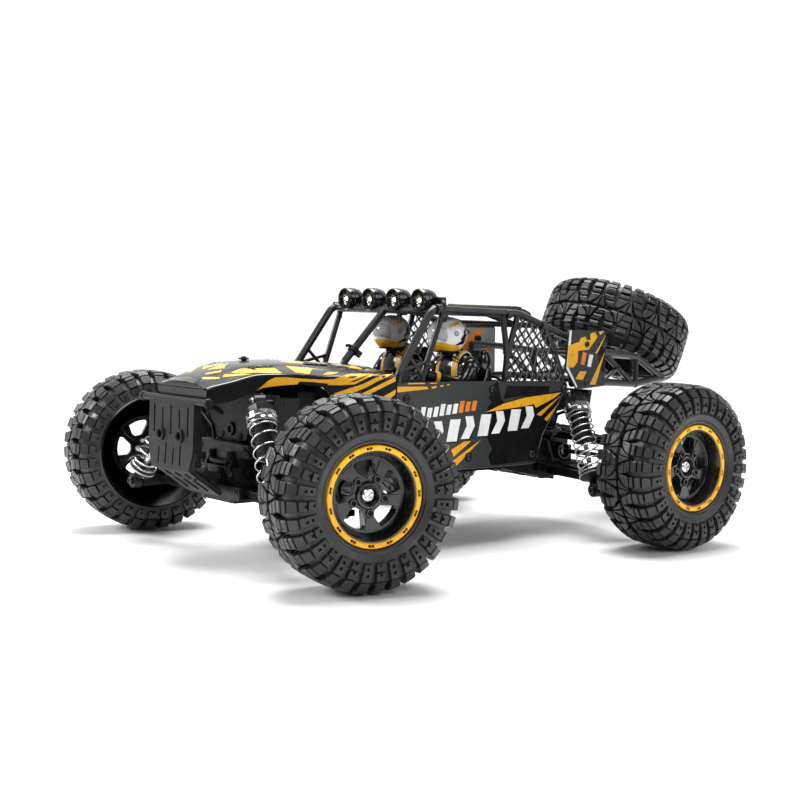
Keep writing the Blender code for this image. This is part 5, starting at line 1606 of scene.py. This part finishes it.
def build_suit(shape, x, hands):
    """Body, harness, arms and legs of one figure; hands is where its hands are, from its middle."""
    turns, rings = 40, []
    for k in range(17):
        u = 13.85 * math.sin(math.pi / 2 * (k / 8 - 1))
        rings.append([torso_at(u, 360 * j / turns)[0] + X * x for j in range(turns)])
    loft(shape, rings, "suit_black")
    lap = [[Vector((x + a, y, z)) for a, z in oval(wide, low, high)]
           for y, wide, low, high in ((134, 9.5, 84.6, 92), (126, 11.5, 84.5, 93), (118, 11.3, 84.5, 92.4),
                                      (108, 9.8, 84.5, 91.6))]
    loft(shape, lap, "suit_black")
    for flip in (1, -1):
        for width, finish, lift in ((2.9, "print_yellow", 0.2), (3.7, "print_white", 0.05)):
            line = [(flip * (6.3 + 0.022 * (90 - t) * 0.6), t) for t in range(-52, 128, 12)]
            strap(shape, line, width, finish, lift, x)
        for t, finish in ((34, "dark_steel"), (39, "print_yellow"), (43, "dark_steel"), (-20, "dull_black")):
            strap(shape, [(flip * 6.9, t - 2), (flip * 6.9, t + 2)], 4.4, finish, 0.55, x)
        strap(shape, [(flip * 11.4, 62), (flip * 11.2, 80), (flip * 10.8, 104)], 1.1, "print_pale", 0.12, x)
        shoulder, hand = Vector((x + flip * 12.2, 129, 102.6)), Vector((x + flip * hands[0], *hands[1:]))
        elbow = Vector((x + flip * 13.8, 121.5, 92.5))
        arm = rounded([shoulder, elbow, hand], 6, 8)
        sizes = [5.4 - 2.2 * k / (len(arm) - 1) for k in range(len(arm))]
        sweep(shape, arm, sizes, "suit_black", 20)
        ball(shape, shoulder - Z * 0.6, (5.9, 6.2, 6.0), "suit_black", 28, 16)
        for k in (2, 3, 4):
            spot = shoulder.lerp(elbow, 0.26 * k - 0.1)
            ring(shape, spot, elbow - shoulder, 5.0 - 0.4 * k, 3.2, -0.35, 0.35, "dull_black", 24, 0.1)
        ring(shape, elbow.lerp(hand, 0.72), hand - elbow, 3.9, 2.4, -1.1, 1.1, "print_yellow", 22)
        ball(shape, hand, (2.9, 3.2, 2.9), "dull_black", 18, 12)
        for k in range(4):
            rod(shape, hand + Vector((0, -1.6, 1.5 - k)), hand + Vector((-flip * 2.6, -2.6, 1.5 - k)), 0.62,
                "dull_black", 8)
        leg = rounded([(x + flip * 5.4, 112, 88.2), (x + flip * 6.2, 98, 92.5), (x + flip * 6, 90, 83)], 5, 6)
        sweep(shape, leg, [4.3 - 1.0 * k / (len(leg) - 1) for k in range(len(leg))], "suit_black", 18)
        block(shape, (x + flip * 6 - 2.4, 83.5, 80.4), (x + flip * 6 + 2.4, 92.5, 84.6), "dull_black")
    ring(shape, (x, 121.2, 92.2), (0, -1, 0.3), 3.0, 0.8, -0.8, 0.8, "dark_steel", 24)


def oval(wide, low, high):
    """A rounded box outline across the car, from low to high."""
    middle, tall = (low + high) / 2, (high - low) / 2
    outline, steps = [], 28
    for k in range(steps):
        c, s = math.cos(TAU * k / steps), math.sin(TAU * k / steps)
        outline.append((wide * math.copysign(abs(c) ** 0.7, c),
                        middle + tall * math.copysign(abs(s) ** 0.7, s)))
    return outline


def strap(shape, line, width, finish, lift, x):
    """A flat webbing band along the suit."""
    rings = []
    for u, t in line:
        low, normal = torso_at(u - width / 2, t, lift)
        high, _ = torso_at(u + width / 2, t, lift)
        rings.append([low + X * x, high + X * x, high + X * x + normal * 0.35, low + X * x + normal * 0.35])
    loft(shape, rings, finish)


def build_seat(shape, x):
    """A bucket seat: winged back, cushion, side rails and slots for the straps."""
    def seat_row(z):
        share = (z - 80) / 31
        half = 12.6 + 1.8 * math.sin(math.pi * min(1, share * 1.4)) - 4.6 * max(0, share - 0.55) / 0.45
        wing = 6.2 * max(0.0, 1 - share * 0.75)
        y = 141.5 + 3.0 * share
        return [(x - half, y - wing, z), (x - half + 1.2, y - wing, z), (x - half + 3.4, y - 0.6, z),
                (x, y + 0.6, z), (x + half - 3.4, y - 0.6, z), (x + half - 1.2, y - wing, z),
                (x + half, y - wing, z), (x + half - 0.6, y + 2.2, z), (x, y + 3.6, z),
                (x - half + 0.6, y + 2.2, z)]
    loft(shape, [[Vector(p) for p in seat_row(z)] for z in (80, 84, 88, 92, 96, 100, 104, 107, 109.5, 111)],
         "satin_black")
    for flip in (1, -1):
        ball(shape, (x + flip * 10.6, 141.6, 104.5), (3.4, 4.4, 7.2), "gloss_black", 22, 14)
    cushion = [[Vector((x + a, y, z)) for a, z in oval(wide, 79.6, high)]
               for y, wide, high in ((108, 11, 83.6), (110, 12.4, 85.2), (124, 12.8, 84), (140, 12, 84.6))]
    loft(shape, cushion, "dull_black")
    for flip in (1, -1):
        tube(shape, [(x + flip * 12.6, 109, 84), (x + flip * 13.4, 124, 86.6), (x + flip * 13.8, 138, 90),
                     (x + flip * 13.2, 142, 100), (x + flip * 9.4, 144.4, 110.4)], 1.1, "gloss_black", 5)
        slab(shape, slot_outline((x + flip * 4.4 - 1.6, 103), (x + flip * 4.4 + 1.6, 103), 1.1), (0, 0, 0),
             X, Z, -143.4, -142.6, "dark_steel")
    for z in (90, 95, 100):
        rod(shape, (x - 8.6, 141.8, z), (x + 8.6, 141.8, z), 0.5, "dull_black", 8)


def build_cockpit():
    tray = Shape()
    slab(tray, corners_cut([(-43, 70), (43, 70), (43, 186), (-43, 186)], 3), (0, 0, 0), X, Y, 78, 79.6,
         "satin_black")
    for side in (1, -1):
        block(tray, (side * 42 - 0.9, 71, 79), (side * 42 + 0.9, 185, 88), "satin_black")
        for y in range(80, 184, 13):
            slab(tray, [(0, 0), (-4.2, 0), (0, 6.5)], (side * 41.4, y, 79.4), X * side, Z, -0.6, 0.6,
                 "satin_black")
    tunnel = [[Vector((a, y, z)) for a, z in oval(6.4, 78.6, high)]
              for y, high in ((80, 90), (100, 87), (130, 86), (170, 86), (185, 88))]
    loft(tray, tunnel, "satin_black")
    for y in range(150, 184, 8):
        block(tray, (-38, y, 79.4), (38, y + 1.6, 81.2), "satin_black")
    # dash with a hooded panel, dials and switches
    cowl = []
    for x, b in ((-38, -1.6), (-30, 0), (-13, 0.4), (-6, -1.4), (6, -1.4), (13, 0.4), (30, 0), (38, -1.6)):
        section = ((76, 79), (76, 90 + b), (79.5, 93.2 + b), (85, 92.6 + b), (86, 91.6 + b),
                   (81.5, 90.2 + b), (81, 79))
        cowl.append([Vector((x, y, z)) for y, z in section])
    loft(tray, cowl, "dull_black")
    for x in (21, 27, 33, -27):
        ring(tray, (x, 81.3, 86.2), Y, 2.5, 1.7, -0.2, 0.8, "dark_steel", 24, 0.1)
        rod(tray, (x, 81.0, 86.2), (x, 81.5, 86.2), 1.8, "print_black")
        block(tray, (x - 0.2, 81.5, 86.2), (x + 0.2, 81.8, 87.7), "print_white")
    for k in range(6):
        rod(tray, (-8 + 3.2 * k, 81, 83.2), (-8 + 3.2 * k, 82.6, 83.8), 0.55, "dark_steel", 10)
    # steering wheel in front of the driver
    hub, tilt = Vector((DRIVER_X, 97.5, 95.5)), Vector((0, -0.86, 0.5)).normalized()
    u, v, _ = across_of(tilt, X)
    sweep(tray, [hub + spoke * 7.0 for spoke, _ in spokes(40, u, v)], 0.95, "dull_black", 10, loop=True)
    for a in (0.5, math.pi - 0.5, -math.pi / 2):
        spoke = u * math.cos(a) + v * math.sin(a)
        slab(tray, [(1.2, -0.9), (6.6, -0.6), (6.6, 0.6), (1.2, 0.9)], hub, spoke, tilt, -0.35, 0.35,
             "dark_steel")
    rod(tray, hub - tilt * 0.9, hub + tilt * 0.9, 2.0, "satin_black", 20, 0.3)
    rod(tray, hub, (DRIVER_X, 84, 87), 1.1, "dark_steel")
    tube(tray, [(0, 104, 85), (0, 103, 93), (0.8, 104, 98)], 0.8, "steel", 3, 10)
    ball(tray, (0.8, 104, 99), (1.7, 1.7, 1.9), "dull_black", 16, 10)
    for x in (DRIVER_X, -DRIVER_X):
        build_seat(tray, x)
    # rear shelf: a pair of reservoirs, a battery box and their hoses
    for x in (-24, 24):
        lathe(tray, [(0, -9), (3.9, -9), (4.4, -8.4), (4.4, 7.6), (3.6, 8.6), (3.6, 9.4), (4.2, 9.6),
                     (4.2, 11.2), (0, 11.5)], (x, 171, 86), X * (1 if x > 0 else -1), "dark_steel", 28)
        for s in (-5, 3):
            ring(tray, (x + s, 171, 86), X, 4.8, 4.2, -0.8, 0.8, "dull_black", 28, 0.1)
        tube(tray, [(x, 171, 90), (x * 0.8, 168, 95), (x * 0.3, 160, 92), (x * 0.2, 155, 84)], 0.9,
             "dull_black", 5, 10)
    block(tray, (-11, 163, 80), (11, 178, 92), "satin_black")
    for k in range(5):
        block(tray, (-9 + 4 * k, 162.4, 82), (-7.4 + 4 * k, 163.4, 90.5), "satin_black")
    piece("cockpit_interior", mesh_of(tray, "cockpit"), "chassis", ["cockpit_tray"], 0.2)
    for name, x, hands in (("driver", DRIVER_X, (7.4, 101, 97.5)),
                           ("passenger", PASSENGER_X, (7.0, 104, 93.6))):
        figure = Shape()
        build_helmet(figure, x)
        build_suit(figure, x, hands)
        piece(f"{name}_dressed", mesh_of(figure, name), "chassis", [f"{name}_figure"])


build_cockpit()


# ============================== chassis and drive ==================================================
CARRIED = {"chassis_tub": "satin_black", "front_bulkhead": "arm_black", "rear_bulkhead": "arm_black",
           "battery_pack": "battery_wrap", "motor": "motor_can", "electronics_box": "satin_black",
           "steering_servo": "gloss_black", "servo_horn": "arm_black", "steering_link": "arm_black",
           "tie_rod_left": "dark_steel", "tie_rod_right": "dark_steel"}
for _part in ("front_hub_carrier", "front_steering_knuckle", "rear_upright"):
    for _name, _ in SIDES:
        CARRIED[f"{_part}_{_name}"] = "arm_black"


def dress_carried():
    """Finishes and softened edges on the CAD pieces that show as they are."""
    for name, finish in CARRIED.items():
        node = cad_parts[name]
        for place in node.material_slots:
            place.link = "OBJECT"
            place.material = MATERIALS[finish]
        soft = node.modifiers.new("soft_edges", "BEVEL")
        soft.width, soft.segments = 0.3 * MM, 2
        soft.limit_method, soft.angle_limit = "ANGLE", math.radians(40)


def hose(shape, points, radius, finish, sides=10):
    """A lead or hose that is fixed at both ends."""
    sweep(shape, rounded(points, 6, 6), radius, finish, sides)


def build_gear_case(shape, axle_y, face):
    """Ribs, flanges and screws on a differential housing; face is -1 at the front, 1 at the back."""
    for x in (-13, 13):
        for z in (34.2, 46.6):
            screw(shape, (x, axle_y + face * 15.0, z), (0, face, 0), 2.0, 0.9)
            ring(shape, (x, axle_y + face * 14.6, z), (0, face, 0), 3.1, 1.6, 0, 0.7, "arm_black", 22, 0.1)
    lathe(shape, [(0, 0), (8.2, 0), (8.2, 1.0), (6.4, 1.6), (5.6, 2.6), (3.2, 3.0), (0, 3.0)],
          (0, axle_y + face * 14.8, 41), (0, face, 0), "arm_black", 32)
    for spoke, _ in spokes(6, X, Z, 0.5):
        screw(shape, Vector((0, axle_y + face * 15.7, 41)) + spoke * 6.8, (0, face, 0), 0.9, 0.4)
    for x in (-12, 12):
        slab(shape, [(0, 0), (3.6, 0), (0, 8)], (x, axle_y + face * 11.9, 50), Y * face, Z, -0.8, 0.8,
             "arm_black")
    tube(shape, [(-9, axle_y + face * 13.4, 58), (-9, axle_y + face * 13.6, 52),
                 (9, axle_y + face * 13.6, 52), (9, axle_y + face * 13.4, 58)], 1.3, "arm_black", 3, 12)
    for side in (1, -1):
        ring(shape, (side * 17.0, axle_y, 47.6), (side, 0, 0), 7.4, 4.0, -0.4, 1.0, "arm_black", 32)
        for z in (37, 59):
            for y in (-1, 1):
                spot = (side * INNER_X, axle_y + y * (17.2 if z < 50 else 12.2), z)
                rod(shape, spot, Vector(spot) - Y * y * 3.4, 2.4, "arm_black", 18, 0.3)
                screw(shape, spot, (0, y, 0), 1.7, 0.6)
    block(shape, (-15.4, axle_y - 10.5, 61.6), (15.4, axle_y + 10.5, 62.9), "arm_black")
    for x in (-11, 11):
        for y in (-7, 7):
            screw(shape, (x, axle_y + y, 62.9), Z, 1.9, 0.8)


MOTOR_Z, FAN = 60, Vector((-21, 126, 66))


def floor_z(y):
    """Height of the chassis floor's underside, which rises between the axles."""
    return 41 - 9 * max(0.0, (45 - y) / 27, (y - 160) / 43)


def build_mechanics():
    """All that is added to the pieces on the chassis, most of it only seen through gaps."""
    works = Shape()
    build_gear_case(works, 0, -1)
    build_gear_case(works, WHEELBASE, 1)
    # shock tower faces: edge ribs, screws and spare mounting holes
    for y, face, tops in ((-6.5, -1, [(37, 86), (31, 80), (24, 76)]),
                          (220.5, 1, [(44, 84), (36, 80), (28, 74)])):
        for side in (1, -1):
            for x, z in tops[1:]:
                ring(works, (side * x, y, z - 2), (0, face, 0), 2.1, 1.0, -0.1, 0.7, "satin_black", 20, 0.1)
            sweep(works, [(side * 15, y + face * 0.5, 60), (side * 19, y + face * 0.5, 70),
                          (side * (tops[0][0] - 2), y + face * 0.5, tops[0][1] - 6)], 1.0, "satin_black", 8)
        for x in (-9, 9):
            screw(works, (x, y, 66), (0, face, 0), 1.8, 0.8)
        ring(works, (0, y, 69), (0, face, 0), 3.6, 1.8, -0.1, 1.1, "satin_black", 24, 0.15)
    # receiver case beside each front tower, under the hood
    for side in (1, -1):
        low, high = sorted((side * 20.5, side * 31.5))
        block(works, (low, 0.5, 70), (high, 16, 87), "satin_black")
        block(works, (low + 3, 3, 61.5), (high - 3, 10, 70.2), "dull_black")
        block(works, (low + 1.5, 15.8, 73), (high - 1.5, 27, 90), "dull_black")
        for z in (73, 84):
            screw(works, (side * 31.5, 7.2, z), (side, 0, 0), 1.2, 0.5)
        upper, lower = (((24, 14, 73), (25, 24, 71), (21, 40, 64), (20, 68, 58)),
                        ((26, 14, 70), (27, 22, 66), (22, 34, 62), (12, 46, 58)))
        for points, radius, finish in ((lower, 0.75, "dull_black"),
                                       (upper, 0.65, "cable_red" if side > 0 else "dull_black")):
            hose(works, [(side * x, y, z) for x, y, z in points], radius, finish)
    # steering servo: lid, screws, lead
    block(works, (-8.6, 34, 55.4), (8.6, 60.6, 56.2), "satin_black")
    for x in (-7, 7):
        for y in (49, 59):
            screw(works, (x, y, 56.2), Z, 0.9, 0.4)
    hose(works, [(8, 60, 50), (12, 66, 50), (-6, 70, 55), (-14, 76, 60)], 1.0, "dull_black")
    # battery: printed wrap, straps and leads
    for y in (82, 146):
        block(works, (3.6, y, 44.6), (31.1, y + 6, 68.6), "dull_black")
    for k, finish in enumerate(("print_yellow", "print_white", "print_yellow")):
        y = 98 + 13 * k
        slab(works, [(8, y), (17, y + 6), (26, y), (26, y + 5), (17, y + 11), (8, y + 5)], (0, 0, 0), X, Y,
             67.9, 68.3, finish)
        slab(works, [(y, 48), (y + 8, 48), (y + 11, 62), (y + 3, 62)], (0, 0, 0), Y, Z, 30.7, 31.0, finish)
    hose(works, [(14, 157, 58), (12, 163, 60), (0, 163, 66), (-10, 150, 68), (-14, 141, 62)], 1.1,
         "cable_red")
    hose(works, [(19, 157, 58), (16, 166, 62), (2, 166, 69), (-14, 154, 69), (-19, 141, 62)], 1.1,
         "dull_black")
    # electronics: finned lid, switch, aerial
    for k in range(8):
        block(works, (-29, 78 + 4.6 * k, 65.8), (-13, 80 + 4.6 * k, 69.6), "dark_steel")
    block(works, (-29.4, 76.6, 65.6), (-12.6, 113.6, 66.6), "dark_steel")
    ring(works, FAN, Z, 6.4, 5.4, -0.2, 4.0, "dull_black", 28)
    for spoke, wing in spokes(7, X, Y):
        slab(works, [(1.2, -0.3), (5.2, -1.6), (5.2, -0.9), (1.2, 0.5)], FAN, spoke, wing, 0.8, 3.4,
             "satin_black")
    rod(works, FAN, FAN + Z * 3.6, 1.7, "satin_black", 18)
    block(works, (-9.5, 96, 65.8), (-5.5, 104, 68.4), "dull_black")
    hose(works, [(-8, 76, 62), (-10, 70, 70), (-20, 64, 76), (-33, 62, 70), (-34, 58, 60)], 0.5,
         "dull_black", 8)
    # motor: end bell, vents, leads and clamp
    ring(works, (0, 167, MOTOR_Z), Y, 13.9, 8.0, -1.2, 4.6, "dull_black", 40)
    for spoke, wing in spokes(10, X, Z):
        slab(works, [(0, -1.5), (7, -1.5), (7, 1.5), (0, 1.5)], Vector((0, 175, MOTOR_Z)) + spoke * 13.4, Y,
             wing, -0.35, 0.35, "dull_black")
    for x in (-8, 8):
        screw(works, (x, 200, MOTOR_Z), Y, 1.7, 0.8)
    ring(works, (0, 192, MOTOR_Z), Y, 14.4, 13.4, -1.6, 1.6, "arm_black", 40)
    hose(works, [(-5, 165, 64), (-6, 158, 67), (-12, 152, 66), (-18, 141, 57)], 1.1, "cable_red")
    hose(works, [(5, 165, 64), (3, 157, 69), (-8, 150, 68), (-23, 141, 57)], 1.1, "dull_black")
    ring(works, (0, 206.5, MOTOR_Z), Y, 4.2, 1.4, -1.8, 1.8, "steel", 28, 0.1)
    for spoke, wing in spokes(14, X, Z):
        slab(works, [(-0.2, -0.5), (0.8, -0.25), (0.8, 0.25), (-0.2, 0.5)],
             Vector((0, 206.5, MOTOR_Z)) + spoke * 4.2, spoke, wing, -1.8, 1.8, "steel")
    # underside: skid rails and countersunk screws; side brackets' screws
    for side in (1, -1):
        for x in (12, 24):
            tube(works, [(side * x, y, floor_z(y)) for y in (22, 45, 160, 199)], 0.9, "satin_black", 2, 10)
        for y in (26, 62, 100, 138, 176, 198):
            ring(works, (side * 30, y, floor_z(y)), -Z, 2.9, 1.6, -0.6, 0.5, "satin_black", 22, 0.1)
            screw(works, (side * 30, y, floor_z(y)), -Z, 1.7, 0.4)
            if 80 < y < 170:
                continue
            slab(works, [(0, 0), (5, 0), (0, 11)], (side * 34.2, y, 45), X * side, Z, -0.8, 0.8,
                 "satin_black")
        for y in (87, 159):
            screw(works, (side * 44, y, 54), Z, 1.8, 0.8)
            tube(works, [(side * 48, y, 53), (side * 47, y, 70), (side * 45.6, y, 88)], 1.6, "satin_black",
                 4, 12)
        for ys in ((20, 6, -4), (201, 212, 222)):
            run = [(side * x, y, z) for x, y, z in zip((33.4, 30, 15.8), ys, (60, 61, 61))]
            tube(works, run, 1.8, "satin_black", 5, 12)
    return works


def build_ends():
    """Ball ends on the tie rods, and the servo horn's screw."""
    for name, side in SIDES:
        low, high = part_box(f"tie_rod_{name}")
        ends = Shape()
        centre = TO_FRAME.inverted() @ ((low + high) / 2)
        span = (high - low) / MM
        for share in (-0.5, 0.5):
            spot = centre + X * share * side * (span.x - 6)
            ball(ends, spot + Z * 0.2, (2.2, 2.2, 2.4), "steel", 16, 10)
        piece(f"tie_rod_{name}_ends", mesh_of(ends, "ends"), f"tie_rod_{name}")
    horn = Shape()
    screw(horn, (0, 39, 60), Z, 2.2, 1.0)
    ring(horn, (0, 39, 59.8), Z, 3.6, 2.0, 0, 0.7, "arm_black", 24, 0.1)
    piece("servo_horn_screw", mesh_of(horn, "horn_screw"), "servo_horn")


dress_carried()
piece("chassis_details", mesh_of(build_mechanics(), "mechanics"), "chassis", bevel=0.12)
build_ends()


# ============================== stage =============================================================
def paper():
    """White paper that thins out to nothing far from the middle, so that no horizon shows."""
    n = Nodes("paper_floor")
    n.set(Base_Color=n.mixed(n.spans(n.noise(3.0, 3.0), 0.4, 0.65, 0.0, 1.0), (0.9, 0.9, 0.9),
                             (0.87, 0.87, 0.875)))
    n.set(Roughness=n.spans(n.noise(60, 4.0), 0.3, 0.7, 0.5, 0.65))
    n.set(Normal=n.bump(n.noise(900, 2.0), 0.03, 0.0001))
    reach = n.tree.nodes.new("ShaderNodeVectorMath")
    reach.operation = "LENGTH"
    n.link(n.place, reach.inputs[0])
    n.set(Alpha=n.spans(reach.outputs["Value"], 0.55, 1.5, 1.0, 0.0))
    return n.keep()


def soft_world(look):
    """White behind the object, falling off towards the camera's side, as in a studio tent.
    What the camera itself sees of it is white all round."""
    world = bpy.data.worlds.new("studio")
    bpy.context.scene.world = world
    world.use_nodes = True
    tree = world.node_tree
    place = tree.nodes.new("ShaderNodeTexCoord")
    ahead = tree.nodes.new("ShaderNodeVectorMath")
    ahead.operation = "DOT_PRODUCT"
    ahead.inputs[1].default_value = look
    level = tree.nodes.new("ShaderNodeMapRange")
    for name, number in (("From Min", 0.05), ("From Max", 0.85), ("To Min", 0.09), ("To Max", 1.15)):
        level.inputs[name].default_value = number
    tree.links.new(place.outputs["Generated"], ahead.inputs[0])
    tree.links.new(ahead.outputs["Value"], level.inputs["Value"])
    background = tree.nodes["Background"]
    background.inputs["Color"].default_value = (1.0, 1.0, 1.0, 1.0)
    backdrop = tree.nodes.new("ShaderNodeMath")
    backdrop.operation = "MAXIMUM"
    tree.links.new(tree.nodes.new("ShaderNodeLightPath").outputs["Is Camera Ray"], backdrop.inputs[0])
    tree.links.new(level.outputs["Result"], backdrop.inputs[1])
    tree.links.new(backdrop.outputs["Value"], background.inputs["Strength"])


FLOOR_REACH, FLOOR_Z = 3, -0.0005       # metres, like all of the stage


def build_stage():
    """The floor, the world's light, and four soft boxes."""
    look = Vector((CAMERA_LOOK.x, CAMERA_LOOK.y, 0)).normalized()
    mesh = bpy.data.meshes.new("paper")
    corners = ((-1, -1), (1, -1), (1, 1), (-1, 1))
    mesh.from_pydata([(FLOOR_REACH * x, FLOOR_REACH * y, FLOOR_Z) for x, y in corners], [], [(0, 1, 2, 3)])
    mesh.materials.append(paper())
    floor = bpy.data.objects.new("paper", mesh)
    bpy.context.scene.collection.objects.link(floor)
    soft_world(look)
    right = look.cross(Z)
    lights = [("top", look * 0.2 + Z * 1.3, 1.0, 34),
              ("left_side", -right * 1.4 + Z * 0.8 - look * 0.1, 0.5, 18),
              ("right_side", right * 1.5 + Z * 0.7 - look * 0.5, 1.0, 7),
              ("front", -look * 1.6 + Z * 1.1 + right * 0.3, 0.7, 9)]
    for name, place, size, power in lights:
        light = bpy.data.lights.new(name, "AREA")
        light.size = size
        light.energy = power
        holder = bpy.data.objects.new(name, light)
        bpy.context.scene.collection.objects.link(holder)
        holder.location = place
        holder.rotation_euler = (Vector((0, 0, 0.06)) - place).to_track_quat("-Z", "Y").to_euler()


CAMERA_LOOK = Vector((-0.77819, 0.62398, -0.07124)).normalized()
CAMERA_ROLL = math.radians(1.0)
CAMERA_PLACE = (0.6703, -0.5706, 0.1424)
LENS_MM, SENSOR_MM = 65.95, 36.0
VIEW_GAMMA = 0.95


def build_camera():
    """The photograph's camera, turned to its place by its view and its small roll."""
    data = bpy.data.cameras.new("camera")
    data.lens, data.sensor_width = LENS_MM, SENSOR_MM
    data.clip_start, data.clip_end = 0.01, 50.0
    holder = bpy.data.objects.new("camera", data)
    bpy.context.scene.collection.objects.link(holder)
    right = CAMERA_LOOK.cross(Z).normalized()
    up = right.cross(CAMERA_LOOK)
    c, s = math.cos(CAMERA_ROLL), math.sin(CAMERA_ROLL)
    columns = (right * c + up * s, up * c - right * s, -CAMERA_LOOK)
    turn = Matrix(columns).transposed().to_4x4()
    holder.matrix_world = Matrix.Translation(CAMERA_PLACE) @ turn
    bpy.context.scene.camera = holder


build_stage()
build_camera()
bpy.context.scene.view_settings.view_transform = "Standard"
bpy.context.scene.view_settings.gamma = VIEW_GAMMA
